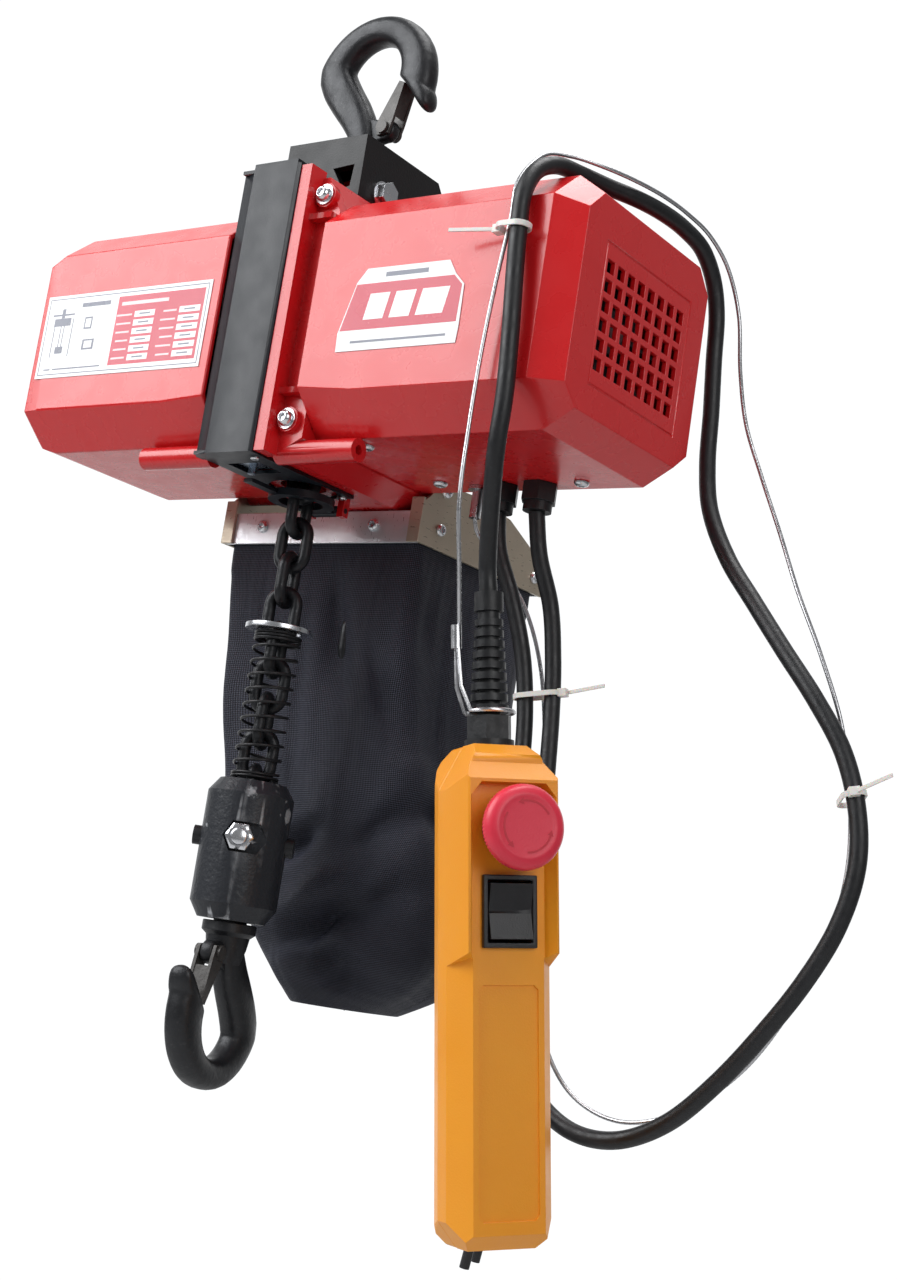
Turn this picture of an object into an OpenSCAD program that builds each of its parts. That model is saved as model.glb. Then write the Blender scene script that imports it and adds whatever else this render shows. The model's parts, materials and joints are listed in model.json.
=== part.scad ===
// Electric chain hoist, 500 kg class, single chain fall.
// Millimetres, +Z up, +X towards the vented motor end, -Y towards the front.
// The origin is the load saddle of the top hook; the hook's shank is the Z axis.

/* [Body] */
// Drop from the hook saddle to the flat top of the covers
body_drop = 119; // [119:1:125]
// Height of the covers
body_h = 126; // [126:1:130]
// Depth of the covers, front to back
body_d = 132; // [132:1:136]
// Corner chamfer of the covers
corner = 19; // [15:1:21]
// Left end of the left cover
left_end = -164; // [-180:1:-160]
// Right end of the vented cover
right_end = 194; // [192:1:200]
// Wall thickness of the covers
wall = 3; // [2.5:0.5:4]

/* [Vents] */
// Columns of vent holes
vent_columns = 8; // [6:1:9]
// Rows of vent holes
vent_rows = 6; // [4:1:6]
// Spacing of vent holes
vent_pitch = 9.6; // [9:0.1:9.8]
// Side of one square vent hole
vent_hole = 6.6; // [5:0.2:7]

/* [Hooks] */
// Inner radius of the hook bowl
bowl_r = 19; // [17:0.5:19]
// Outer radius of the hook back
back_r = 41; // [40:0.5:42]
// Thickness of the hook forging
hook_t = 16; // [14:1:16]
// Radius of the hook shank
shank_r = 8.3; // [8:0.1:8.3]
// Turn of the lower hook about the vertical
lower_turn = -78; // [-180:1:180]

/* [Chain] */
// Wire diameter of a chain link
link_d = 6.2; // [6:0.1:6.2]
// Pitch of the chain
link_pitch = 19; // [19:0.1:19.2]
// Outside width of a link
link_w = 21.1; // [20.5:0.1:21.1]
// Links in the load fall
load_links = 14; // [12:1:14]
// Links in the slack fall
slack_links = 13; // [6:1:13]

/* [Hook block] */
// Radius of the barrel block
block_r = 22.5; // [22.5:0.5:24]
// Turn of the block about the vertical
block_turn = 35; // [0:1:90]
// Coils of the limit spring
spring_turns = 14; // [10:1:15]

/* [Pendant] */
// Length of the pendant housing
pendant_l = 220; // [220:1:230]
// Width of the pendant housing
pendant_w = 50; // [49:1:52]
// Yaw of the pendant's front
pendant_yaw = 57; // [0:1:90]
// Diameter of the emergency stop head
estop_d = 38; // [36:1:40]

/* [Cords] */
// Diameter of the control cable and of the mains lead
cable_d = 8.5; // [8:0.5:9]
// Diameter of the steel strain-relief rope
rope_d = 2.2; // [2:0.1:2.4]

/* [Hidden] */
$fn = 48;
gap = 0.1;

top_z = -body_drop;
bottom_z = top_z - body_h;
mid_z = -181;
half_d = body_d / 2;
flat_d = half_d - corner;
face_low = bottom_z + corner;
face_high = top_z - corner + 2;
frame_left = -24;
frame_right = 40;
chain_x = -3;
chain_top_z = -191.5;
pin_z = chain_top_z - (load_links - 1) * link_pitch - 5.5;

// Shaft centres of the gear train, as [Y, Z]
sheave_at = [31, mid_z];
motor_at = [0, mid_z];
clutch_at = [-17.3, -158];
idler_at = [-4.9, -191.8];

// Front boss rods and rear boss rods, as [Y, Z]
front_rod = [-50, -252];
rear_rod = [60, -240];

// Limit plate: its underside, and its hinge as [Y, Z]
plate_z = -263.5;
plate_hinge = [22, -261.5];

// Block levels
block_top = -414;
block_bottom = -486;
washer_z = -334;
lower_saddle = -556;

// Pendant placement: top centre and tilt of its own axis
pendant_top = [167, -36, -393];
pendant_tilt = [5, -7, 0];
boot_l = 58;
gland_l = 14;

// Routes of the cords, chosen by hand
control_route = [[158, -42, -322], [157, -45, -308], [162, -56, -285], [168, -67, -260],
  [171, -71, -235], [170, -72.5, -205], [168, -73, -180], [166, -72.7, -157],
  [165, -72, -138], [165, -64.5, -123], [166, -50, -114], [169, -34, -112],
  [175, -17, -112], [182, 0, -112], [186, 18, -112], [188, 36, -113], [190, 53, -117.5],
  [191, 66, -129], [192, 72.5, -146], [193, 74, -170], [196, 73, -198],
  [199, 71, -226], [207, 66, -252], [223, 61, -278], [243, 56, -301],
  [264, 52, -325], [284, 50, -348], [301, 50, -372], [311, 50, -398],
  [314, 50, -424], [308, 50, -451], [295, 50, -477], [278, 50, -502],
  [258, 50, -527], [236, 50, -548], [211, 50, -560], [186, 50, -560],
  [164, 50, -548], [149, 50, -527], [141, 50, -500], [137, 50, -472],
  [134, 50, -444], [131, 50, -416], [128, 50, -388], [125, 50, -360],
  [120, 48, -332], [112, 43, -304], [103, 38, -280], [100, 36, -260]];
power_route = [[124, 36, -260], [127, 40, -282], [132, 49, -306], [136, 52, -332],
  [139, 53, -358], [142, 52, -386], [145, 50, -414], [148, 47, -444],
  [151, 43, -474], [154, 38, -505], [158, 33, -536], [162, 29, -563]];
plug_top = [163, 28, -567];
plug_tilt = [8, -4, 110];
rope_anchor = [84, 38, -262];
rope_route = [[150, -50, -339], [152.5, -60, -315], [154, -70, -285], [154.5, -72, -250],
  [155, -72, -215], [157, -72, -182], [160, -72, -150], [158, -68, -129],
  [160, -54, -110], [167, -41, -105.5], [177, -27, -106], [184, -9, -106],
  [188, 12, -105.5], [190, 34, -106], [194, 52, -111], [199, 66, -124], [203, 76, -146],
  [208, 76, -176], [218, 71, -206], [233, 66, -235], [249, 62, -265],
  [264, 59, -295], [280, 58, -325], [294, 59, -357], [302, 60, -390],
  [305, 60, -424], [299, 60, -458], [284, 60, -492], [264, 60, -521],
  [236, 60, -543], [205, 60, -552], [176, 60, -543], [156, 60, -518],
  [146, 61, -484], [141, 61, -448], [137, 61, -410], [132, 61, -372],
  [124, 60, -336], [112, 56, -306], [97, 48, -284], [86, 41, -270], [84, 38, -262]];

// ---------- helpers ----------

function unit(v) = v / norm(v);
function tangent(p, i) = unit(p[min(i + 1, len(p) - 1)] - p[max(i - 1, 0)]);
function carried(p, i = 0, n = [1, 0.2, 0]) =
  let (t = tangent(p, i), m = unit(n - (n * t) * t))
  i == len(p) - 1 ? [m] : concat([m], carried(p, i + 1, m));

// One closed tube with a ring of points at every route point
module swept_tube(p, r, sides) {
  n = carried(p);
  last = len(p) - 1;
  points = [for (i = [0 : last], k = [0 : sides - 1])
    let (a = 360 * k / sides, t = tangent(p, i))
    p[i] + r * (cos(a) * n[i] + sin(a) * cross(t, n[i]))];
  skin = [for (i = [0 : last - 1], k = [0 : sides - 1])
    let (j = (k + 1) % sides, a = i * sides, b = (i + 1) * sides)
    each [[a + k, b + j, a + j], [a + k, b + k, b + j]]];
  start_cap = [[for (k = [0 : sides - 1]) k]];
  end_cap = [[for (k = [sides - 1 : -1 : 0]) last * sides + k]];
  polyhedron(points, concat(skin, start_cap, end_cap), convexity = 10);
}

// Cylinder along +X from x0 to x1 at [y, z]
module rod_x(x0, x1, at, r) {
  translate([x0, at[0], at[1]]) rotate([0, 90, 0]) cylinder(h = x1 - x0, r = r);
}

// Ring along +X
module ring_x(x0, x1, at, r_out, r_in) {
  difference() {
    rod_x(x0, x1, at, r_out);
    rod_x(x0 - 1, x1 + 1, at, r_in);
  }
}

// Slab between two X stations of an outline given in Y and Z
module slab_x(x0, thick) {
  translate([x0, 0, 0]) rotate([90, 0, 90]) linear_extrude(thick) children();
}

// Eight-sided section of the covers, moved in by an inset
module cover_section(inset = 0, low_front = 0) {
  c = inset * 0.4;
  y = half_d - inset;
  f = flat_d - c;
  zb = bottom_z + inset;
  zt = top_z - inset;
  polygon([[-y, face_low + c + low_front], [-y, face_high - c], [-f, zt], [f, zt],
    [y, face_high - c], [y, face_low + c], [f, zb], [-f + low_front, zb]]);
}

// Smaller section at a cover's end
module end_section(inset_y, drop, lift) {
  y = half_d - inset_y;
  polygon([[-y, face_low], [-y, face_high - 5], [-flat_d, top_z - drop],
    [flat_d, top_z - drop], [y, face_high - 5], [y, face_low],
    [flat_d, bottom_z + lift], [-flat_d, bottom_z + lift]]);
}

module pan_screw(r_head, h_head, r_shaft, l_shaft) {
  cylinder(h = h_head, r1 = r_head, r2 = r_head * 0.75);
  translate([0, 0, -l_shaft]) cylinder(h = l_shaft + 0.01, r = r_shaft);
}

module hex_prism(across, h) {
  cylinder(h = h, r = across / 2 / cos(30), $fn = 6);
}

// ---------- hooks ----------

// Outline of a hook in its own plane: saddle at the origin, shank down
module hook_outline() {
  outer = [for (a = [168 : -9 : -12]) [back_r * cos(a), back_r * sin(a) - 25]];
  tip = [[42.8, -40], [40.8, -44.5], [38, -44.5], [35.5, -42], [27, -29]];
  inner = [for (a = [-15 : 9 : 165]) [bowl_r * cos(a), bowl_r * (sin(a) - 1)]];
  neck = [[-13, -19.5], [-5, -29], [1, -38], [5.5, -48], [shank_r, -58], [shank_r, -62],
    [-shank_r, -62], [-shank_r, -58], [-18, -46], [-30, -33]];
  polygon(concat(outer, tip, inner, neck));
}

latch_pivot = [15, -53];
lug_t = 7;
ear_t = 1.8;
ear_at = lug_t / 2 + 0.3 + ear_t / 2;
latch_w = 2 * ear_at + ear_t;

module forged_hook(shank_end) {
  difference() {
    union() {
      rotate([90, 0, 0]) linear_extrude(hook_t, center = true) hook_outline();
      translate([latch_pivot[0], 0, latch_pivot[1]]) rotate([90, 0, 0])
        cylinder(h = lug_t, r = 5.5, center = true);
      translate([4, -lug_t / 2, -60]) cube([12, lug_t, 8]);
      translate([0, 0, shank_end]) cylinder(h = -61 - shank_end, r = shank_r);
    }
    translate([latch_pivot[0], 0, latch_pivot[1]]) rotate([90, 0, 0])
      cylinder(h = hook_t + 2, r = 2.05, center = true);
  }
}

// Spring latch in the hook's own frame
module hook_latch() {
  p = latch_pivot;
  ear = [[p[0] - 3.6, p[1] - 4], [p[0] + 4, p[1] - 3.5], [p[0] + 6, p[1] + 4],
    [25, -28], [21.4, -26.6], [p[0] - 4.5, p[1] + 4]];
  for (s = [-1, 1]) translate([0, s * ear_at, 0]) difference() {
    rotate([90, 0, 0]) linear_extrude(ear_t, center = true) polygon(ear);
    translate([p[0], 0, p[1]]) rotate([90, 0, 0]) cylinder(h = 4, r = 2.1, center = true);
  }
  rotate([90, 0, 0]) linear_extrude(latch_w - ear_t, center = true)
    polygon([[p[0] + 6, p[1] + 7], [25, -28], [22.6, -27], [p[0] + 3.6, p[1] + 8]]);
}

module latch_pin() {
  translate([latch_pivot[0], 0, latch_pivot[1]]) rotate([90, 0, 0]) {
    cylinder(h = latch_w + 2, r = 2, center = true);
    for (s = [0, 1]) mirror([0, 0, s]) translate([0, 0, latch_w / 2 + 0.1])
      cylinder(h = 1.6, r = 3.6);
  }
}

module hook_nut(top, bottom) {
  translate([0, 0, bottom]) difference() {
    cylinder(h = top - bottom, r = 12.5);
    translate([0, 0, -1]) cylinder(h = 40, r = shank_r + 0.02);
  }
}

module top_hook() {
  color("dimgray") forged_hook(-88.5);
}

module top_hook_nut() {
  color("gray") hook_nut(-77.2, -86.5);
}

module top_latch() {
  color("slategray") {
    hook_latch();
    latch_pin();
  }
}

// Placement of the lower hook, bowl down and turned about the vertical
module lower_place() {
  translate([chain_x, 0, lower_saddle]) rotate([180, 0, lower_turn]) children();
}

module lower_hook() {
  color("dimgray") {
    lower_place() forged_hook(-95);
    translate([chain_x, 0, block_bottom - 6.2]) cylinder(h = 5.2, r = 14);
  }
}

module lower_hook_nut() {
  color("gray") translate([chain_x, 0, 0]) hook_nut(-464, -475.6);
}

module lower_latch() {
  color("dimgray") lower_place() {
    hook_latch();
    latch_pin();
  }
}

// ---------- suspension ----------

bracket_half = 27;
bracket_front = -30;
bracket_back = 41;
bracket_top = -69.5;
bracket_foot = -104;
bolt_y = [-12, 24];
bolt_z = -97;

module suspension_bracket() {
  color("#1c1c1e") difference() {
    rotate([90, 0, 90]) linear_extrude(2 * bracket_half, center = true)
      polygon([[bracket_front, bracket_foot], [bracket_front, bracket_top],
        [bracket_back - 6, bracket_top], [bracket_back, bracket_top - 7],
        [bracket_back, bracket_foot]]);
    translate([-bracket_half + 5, bracket_front + 5, bracket_foot - 1])
      cube([2 * bracket_half - 10, bracket_back - bracket_front - 10, 28]);
    translate([0, 0, -110]) cylinder(h = 60, r = shank_r + gap);
    translate([0, bracket_front + 10, 0]) rotate([90, 0, 0]) linear_extrude(20)
      polygon([[7, -87], [21, -86], [20, -98], [15, -99]]);
    for (y = bolt_y) rod_x(-60, 60, [y, bolt_z], 4.1);
  }
}

module bracket_bolts() {
  color("silver") for (y = bolt_y) {
    rod_x(-31, 31, [y, bolt_z], 4);
    for (s = [0, 1]) mirror([s, 0, 0]) {
      rod_x(27.1, 28.7, [y, bolt_z], 7.5);
      translate([28.6, y, bolt_z]) rotate([0, 90, 0]) hex_prism(12, 5.4);
    }
  }
}

// ---------- frame ----------

module frame_profile() {
  polygon([[frame_left, -254], [25, -254], [frame_right, -246], [frame_right, -126],
    [30, -106], [-22, -106], [frame_left, -108]]);
}

module main_frame() {
  color("crimson") difference() {
    union() {
      translate([0, 76, 0]) rotate([90, 0, 0]) linear_extrude(132) frame_profile();
      translate([18.2, -66, -255]) cube([6.8, 12, 153]);
      rod_x(-72, frame_left + 1, front_rod, 6);
      rod_x(22, 73, front_rod, 6);
      rod_x(bag_x[0] + gap, frame_left + 2, rear_rod, 5.5);
      rod_x(frame_right - 2, bag_x[1] - gap, rear_rod, 5.5);
      rod_x(-36, frame_left + 2, sheave_at, 20);
      for (y = [bolt_y[0] - 6, bolt_y[1] - 6]) translate([-21, y, -107]) cube([42, 12, 18]);
      for (x = [chain_x - 13, chain_x + 9]) translate([x, 19.5, -265]) cube([4, 5, 12]);
      for (p = screw_spots) translate([p[0], -55, p[1]]) rotate([90, 0, 0])
        cylinder(h = 4, r = 6.5);
      frame_ribs();
    }
    translate([chain_x - 18, -57, -250]) cube([36, 130.2, 140]);
    translate([21, -50, -240]) cube([20, 118, 115]);
    rod_x(-73, -57, front_rod, 2.5);
    rod_x(58, 74, front_rod, 2.5);
    rod_x(bag_x[0] - 1, bag_x[0] + 14, rear_rod, 2.1);
    rod_x(36, 45, rear_rod, 2.1);
    rod_x(-20, 10, plate_hinge, 1.56);
    rod_x(-33, -15, sheave_at, 17.1);
    rod_x(10, 22, sheave_at, 17.1);
    for (at = [clutch_at, idler_at]) rod_x(14.9, 22, at, 4.1);
    translate([chain_x, 0, -262]) cylinder(h = 20, r = 12.5);
    translate([chain_x, 62, -262]) cylinder(h = 20, r = 13);
    translate([chain_x - 16, -51, -262]) cube([26, 21, 20]);
    translate([0, 0, -112]) cylinder(h = 30, r = 15);
    for (y = bolt_y) rod_x(-30, 30, [y, bolt_z], 4.1);
    for (p = screw_spots) translate([p[0], -70, p[1]]) rotate([-90, 0, 0])
      cylinder(h = 26, r = 2.1);
  }
}

screw_spots = [[31, -117], [31, -237]];

// Ribs beside the front screws and under the right front rod
module frame_ribs() {
  for (z = [-131, -224]) translate([25, -62, z]) cube([14.9, 7, 3]);
  rotate([90, 0, 0]) translate([0, 0, 48]) linear_extrude(4)
    polygon([[38, -250], [64, -248], [64, -246.4], [39, -246.4]]);
}

module left_cover() {
  color("red") difference() {
    hull() {
      slab_x(frame_left - 0.3, 0.1) cover_section(0, 2);
      slab_x(-54, 0.1) cover_section();
      slab_x(-148, 0.1) cover_section();
      slab_x(-159, 0.1) end_section(1, 12, 3);
      slab_x(left_end, 0.1) end_section(7, 18, 8);
    }
    hull() {
      slab_x(frame_left, 0.1) cover_section(wall, 2);
      slab_x(-54, 0.1) cover_section(wall);
      slab_x(-148, 0.1) cover_section(wall);
      slab_x(left_end + wall, 0.1) end_section(7 + wall, 18 + wall, 8 + wall);
    }
  }
}

panel_z = -185.5;
panel_y = 1.5;

module right_cover() {
  color("red") difference() {
    hull() {
      slab_x(frame_right + gap, 0.1) cover_section(0, 3);
      slab_x(74, 0.1) cover_section();
      slab_x(right_end - 16, 0.1) cover_section();
      slab_x(right_end - 0.1, 0.1) end_section(8, 11, 10);
    }
    hull() {
      slab_x(frame_right, 0.1) cover_section(wall, 3);
      slab_x(74, 0.1) cover_section(wall);
      slab_x(right_end - 17, 0.1) cover_section(wall);
      slab_x(right_end - wall, 0.1) end_section(8 + wall, 11 + wall, 10 + wall);
    }
    for (i = [0 : vent_columns - 1], j = [0 : vent_rows - 1])
      translate([right_end - 5, (i - (vent_columns - 1) / 2) * vent_pitch - vent_hole / 2,
        panel_z + (j - (vent_rows - 1) / 2) * vent_pitch - vent_hole / 2])
        cube([10, vent_hole, vent_hole]);
    difference() {
      translate([right_end - 0.8, panel_y - 41, panel_z - 35.5]) cube([2, 82, 71]);
      translate([right_end - 2, panel_y - 39.8, panel_z - 34.3]) cube([5, 79.6, 68.6]);
    }
    for (x = gland_x) translate([x, gland_y, -250]) cylinder(h = 10, r = 6.1);
    for (p = cover_screw_spots) translate([p[0], p[1], -250]) cylinder(h = 10, r = 1.9);
  }
}

cover_screw_spots = [[66, -36], [146, -36], [66, 28], [150, 34]];
gland_x = [100, 124];
gland_y = 36;

module case_screws() {
  color("silver") {
    for (p = cover_screw_spots) translate([p[0], p[1], bottom_z - gap]) rotate([180, 0, 0])
      pan_screw(4, 2.4, 1.8, 8);
    for (p = screw_spots) translate([p[0], -59.1, p[1]]) rotate([90, 0, 0]) {
      cylinder(h = 1, r = 5.6);
      translate([0, 0, 0.99]) pan_screw(4.2, 3.4, 2, 12);
    }
    for (y = [-58, 14]) translate([13, y, -256.1]) rotate([180, 0, 0])
      cylinder(h = 1.4, r = 2.4);
    pendant_place() for (x = [-14, 14], z = [-24, -196]) translate([x, 17.1, z])
      rotate([-90, 0, 0]) cylinder(h = 1.8, r = 3.2);
  }
}

module front_strip() {
  color("#2b2e33") difference() {
    union() {
      translate([0, 0, -256]) linear_extrude(155) polygon([[-23.9, -57.2], [-23.9, -62.5],
        [-22.4, -64], [-14.4, -66.4], [-12.8, -68], [16.6, -68], [18, -66.6], [18, -57.2],
        [16, -57.2], [16, -66], [-12, -66], [-13.6, -64.4], [-21.9, -61.8], [-21.9, -57.2]]);
      translate([-12.8, -68, -102]) cube([29.4, 10.8, 3]);
      translate([-22, -66.5, -102.9]) cube([39.5, 36, 1.9]);
      translate([-22, -66.5, -256]) cube([39.5, 84.5, 1.9]);
    }
    translate([-14, -49, -257]) cube([22, 18, 5]);
    translate([chain_x, 0, -258]) cylinder(h = 6, r = 18.5);
  }
}

// Plate that the rising washer lifts, with its arm to the switch and its hinge pin
module limit_plate() {
  color("#202020") translate([chain_x, 0, 0]) {
    difference() {
      union() {
        translate([0, 0, plate_z]) cylinder(h = 4, r = 17.8);
        translate([-8, -38, plate_z + 1]) cube([6, 24, 2]);
        translate([-7, 15, plate_z]) cube([14, 7, 4]);
        rod_x(-8.9, 8.9, plate_hinge, 3);
      }
      translate([0, 0, plate_z - 1]) cylinder(h = 7, r = 12);
    }
    rod_x(-13, 13, plate_hinge, 1.5);
  }
}

module limit_switch() {
  color("lightsteelblue") {
    translate([-18.5, -50, -253.9]) cube([24, 19, 18]);
    translate([-8, -36, -258]) cylinder(h = 4.2, r = 2.2);
  }
}

module labels() {
  color("white") {
    translate([-154, -half_d - 0.45, -208]) cube([124, 0.35, 48]);
    translate([0, -half_d - gap, 0]) rotate([90, 0, 0]) linear_extrude(0.35)
      polygon([[61.5, -206.5], [134.5, -206.5], [135, -197], [134.5, -177], [128.5, -171],
        [124, -164], [74, -164], [68.5, -171], [61, -197]]);
  }
}

// ---------- bag and its frame ----------

bag_x = [-94, 44];
bag_y = [44, 165];
plate_top = -255;
plate_low = -273;
front_plate_screws = [[-67, -263], [13, -263]];
side_plate_screws = [[60, -262], [104, -243], [105, -264], [155, -264]];

module bag_cross_plates() {
  color("gainsboro") for (y = [bag_y[0], bag_y[1] - 2]) difference() {
    translate([bag_x[0] + gap, y, plate_low]) cube([138 - 2 * gap, 2, 18]);
    for (p = front_plate_screws) translate([p[0], y - 1, p[1]]) rotate([-90, 0, 0])
      cylinder(h = 4, r = 2.1);
  }
}

flange_w = 8;
flange_top = -248;

module bag_side_plates() {
  color("silver") for (x = [bag_x[0] - 2, bag_x[1]]) difference() {
    union() {
      translate([x, 0, 0]) rotate([90, 0, 90]) linear_extrude(2)
        polygon([[43, plate_low], [43, -250], [46, -247.5], [57, -236.5], [90, -234.5],
          [124, -238], [162, -254], [166, -258], [166, plate_low]]);
      translate([x < 0 ? x : x + 2 - flange_w, bag_y[0] - 2.1, plate_low])
        cube([flange_w, 2, flange_top - plate_low]);
    }
    for (p = side_plate_screws) rod_x(x - 1, x + 3, p, 2.1);
    rod_x(x - 1, x + 3, rear_rod, 2.1);
  }
}

module bag_screws() {
  color("silver") {
    for (p = front_plate_screws) for (s = [0, 1])
      translate([p[0], s > 0 ? bag_y[1] + gap : bag_y[0] - gap, p[1]])
        rotate([s > 0 ? -90 : 90, 0, 0]) pan_screw(3.6, 2.4, 2, 2);
    for (p = side_plate_screws) for (s = [0, 1])
      translate([s > 0 ? bag_x[1] + 2 + gap : bag_x[0] - 2 - gap, p[0], p[1]])
        rotate([0, s > 0 ? 90 : -90, 0]) pan_screw(3.6, 2.4, 2, 2);
    for (s = [0, 1])
      translate([s > 0 ? bag_x[1] + 2 + gap : bag_x[0] - 2 - gap, rear_rod[0], rear_rod[1]])
        rotate([0, s > 0 ? 90 : -90, 0]) pan_screw(4.2, 3, 2, 6);
  }
}

// Levels of the bag: x range, y range, height and corner radius
bag_wall = 2;
bag_levels = [[-93.6, 43.6, 46.4, 162.6, -257, 4], [-93.6, 43.6, 46.4, 162.6, -274, 5],
  [-93, 46, 45, 161, -300, 10], [-88, 55, 44, 157, -360, 16], [-78, 68, 46, 153, -420, 22],
  [-62, 78, 47, 148, -465, 30], [-42, 76, 47, 140, -500, 36], [-18, 36, 56, 124, -520, 26]];

// Rounded rectangle of one level, six points to a corner
function level_ring(l, inset, raise) = [for (q = [0 : 3], k = [0 : 5])
  let (a = 90 * q + 18 * k, r = l[5] - inset,
    cx = (q == 0 || q == 3) ? l[1] - inset - r : l[0] + inset + r,
    cy = q < 2 ? l[3] - inset - r : l[2] + inset + r)
  [cx + r * cos(a), cy + r * sin(a), l[4] + raise]];

// Open-topped fabric shell: down the outside, across, up the inside, round the rim
module chain_bag() {
  n = len(bag_levels);
  sides = 24;
  outer = [for (i = [0 : n - 1]) each level_ring(bag_levels[i], 0, 0)];
  inner = [for (i = [n - 1 : -1 : 0])
    each level_ring(bag_levels[i], bag_wall, i == n - 1 ? bag_wall : 0)];
  walls = [for (i = [0 : 2 * n - 2], k = [0 : sides - 1]) if (i != n - 1)
    let (j = (k + 1) % sides, a = i * sides, b = (i + 1) * sides)
    each [[a + k, a + j, b + j], [a + k, b + j, b + k]]];
  rim = [for (k = [0 : sides - 1]) let (j = (k + 1) % sides, b = (2 * n - 1) * sides)
    each [[b + k, b + j, j], [b + k, j, k]]];
  floor_out = [[for (k = [0 : sides - 1]) (n - 1) * sides + k]];
  floor_in = [[for (k = [sides - 1 : -1 : 0]) n * sides + k]];
  color("#22242c") polyhedron(concat(outer, inner), concat(walls, rim, floor_out, floor_in),
    convexity = 6);
}

// ---------- chain ----------

// One link, long way up, lying in the XZ plane
module chain_link() {
  arc_r = (link_w - link_d) / 2;
  straight = link_pitch + 0.2 - 2 * (arc_r - link_d / 2);
  for (s = [0, 1]) mirror([0, 0, s]) translate([0, 0, straight / 2]) rotate([90, 0, 0])
    rotate_extrude(angle = 180, $fn = 32) translate([arc_r, 0]) circle(link_d / 2, $fn = 16);
  for (x = [-arc_r, arc_r]) translate([x, 0, -straight / 2])
    cylinder(h = straight, r = link_d / 2, $fn = 16);
}

module load_chain() {
  color("#3a3a3c") for (k = [0 : load_links - 1])
    translate([chain_x, 0, chain_top_z - k * link_pitch])
      rotate([0, 0, 90 * (load_links - 1 - k) + block_turn * k / (load_links - 1)]) chain_link();
}

module slack_chain() {
  color("#3a3a3c") for (k = [0 : slack_links - 1])
    translate([chain_x, 62, chain_top_z - k * link_pitch]) rotate([0, 0, 90 * k]) chain_link();
}

// ---------- drive ----------

// Spur gear along +X with tapered teeth, slack enough to run freely
module spur(x0, x1, at, teeth, module_mm, bore, turn = 0) {
  root = module_mm * (teeth / 2 - 1.15);
  tip = module_mm * (teeth / 2 + 0.8);
  step = 360 / teeth;
  outline = [for (i = [0 : teeth - 1]) let (a = i * step + turn) each [
    root * [cos(a - 0.27 * step), sin(a - 0.27 * step)],
    tip * [cos(a - 0.11 * step), sin(a - 0.11 * step)],
    tip * [cos(a + 0.11 * step), sin(a + 0.11 * step)],
    root * [cos(a + 0.27 * step), sin(a + 0.27 * step)]]];
  difference() {
    translate([x0, at[0], at[1]]) rotate([90, 0, 90]) linear_extrude(x1 - x0) polygon(outline);
    if (bore > 0) rod_x(x0 - 1, x1 + 1, at, bore);
  }
}

function bearing_angle(from, to) = atan2(to[1] - from[1], to[0] - from[0]);

module load_sheave() {
  color("#55585c") translate([chain_x, sheave_at[0], sheave_at[1]]) rotate([0, 90, 0]) {
    rotate_extrude($fn = 64) polygon([[0, -17], [37, -17], [37, -12.4], [26, -11.8],
      [26, -5.6], [18, -5.4], [18, 5.4], [26, 5.6], [26, 11.8], [37, 12.4], [37, 17], [0, 17]]);
    translate([0, 0, -28]) cylinder(h = 63, r = 9);
  }
}

module output_gear() {
  color("goldenrod") spur(24, 33, sheave_at, 48, 1.25, 9.02,
    bearing_angle(sheave_at, idler_at) + 180 / 48);
}

module idler_gear() {
  color("silver") {
    rod_x(15, 50, idler_at, 4);
    rod_x(49.9, 55.5, idler_at, 2.5);
    spur(23.5, 33.5, idler_at, 12, 1.25, 0, bearing_angle(idler_at, sheave_at));
    spur(34, 41.5, idler_at, 60, 1, 0, bearing_angle(idler_at, clutch_at));
  }
}

module clutch_shaft() {
  color("silver") {
    rod_x(15, 55.5, clutch_at, 4);
    spur(33.5, 42, clutch_at, 12, 1, 0, bearing_angle(clutch_at, idler_at) + 15);
    rod_x(42.4, 50.2, clutch_at, 12);
    rod_x(50.3, 51.8, clutch_at, 16);
  }
}

module clutch_gear() {
  color("goldenrod") spur(43, 50, clutch_at, 60, 0.8, 12.05,
    bearing_angle(clutch_at, motor_at) + 3);
}

// Drive-end plate with the gear shafts' holes, and rear plate with cooling holes
module motor_end_plates() {
  color("lightgray") {
    difference() {
      slab_x(52, 4) cover_section(wall + 0.4, 3);
      rod_x(51, 58, motor_at, 7.65);
      rod_x(51, 58, clutch_at, 4.1);
      rod_x(51, 58, idler_at, 2.6);
      for (p = [[-40, -215], [40, -215], [-40, -140], [40, -140]]) rod_x(51, 58, p, 3);
    }
    difference() {
      slab_x(138.5, 4) cover_section(wall + 0.4);
      rod_x(138, 145, motor_at, 11.05);
      for (p = [[-38, -217], [38, -217], [-38, -143], [38, -143]]) rod_x(138, 145, p, 8);
    }
  }
}

module bearings() {
  color("silver") {
    ring_x(-33, -24, sheave_at, 17, 9.05);
    ring_x(15.1, 20.9, sheave_at, 17, 9.05);
    ring_x(52, 56, motor_at, 7.6, 4.55);
    ring_x(138.5, 142.5, motor_at, 11, 6.05);
  }
}

module stator() {
  color("#8b8f94") ring_x(68, 128, motor_at, 52, 30.5);
}

module windings() {
  color("#b06a2c") for (x = [60, 128]) ring_x(x, x + 8, motor_at, 48, 33);
}

module rotor() {
  color("#9a9ca0") {
    rod_x(42.6, 51.1, motor_at, 3.7);
    rod_x(51, 60.1, motor_at, 4.5);
    rod_x(60, 180, motor_at, 6);
    rod_x(68, 128, motor_at, 29.5);
    spur(43.2, 49.8, motor_at, 12, 0.8, 0, bearing_angle(motor_at, clutch_at));
  }
}

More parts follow.
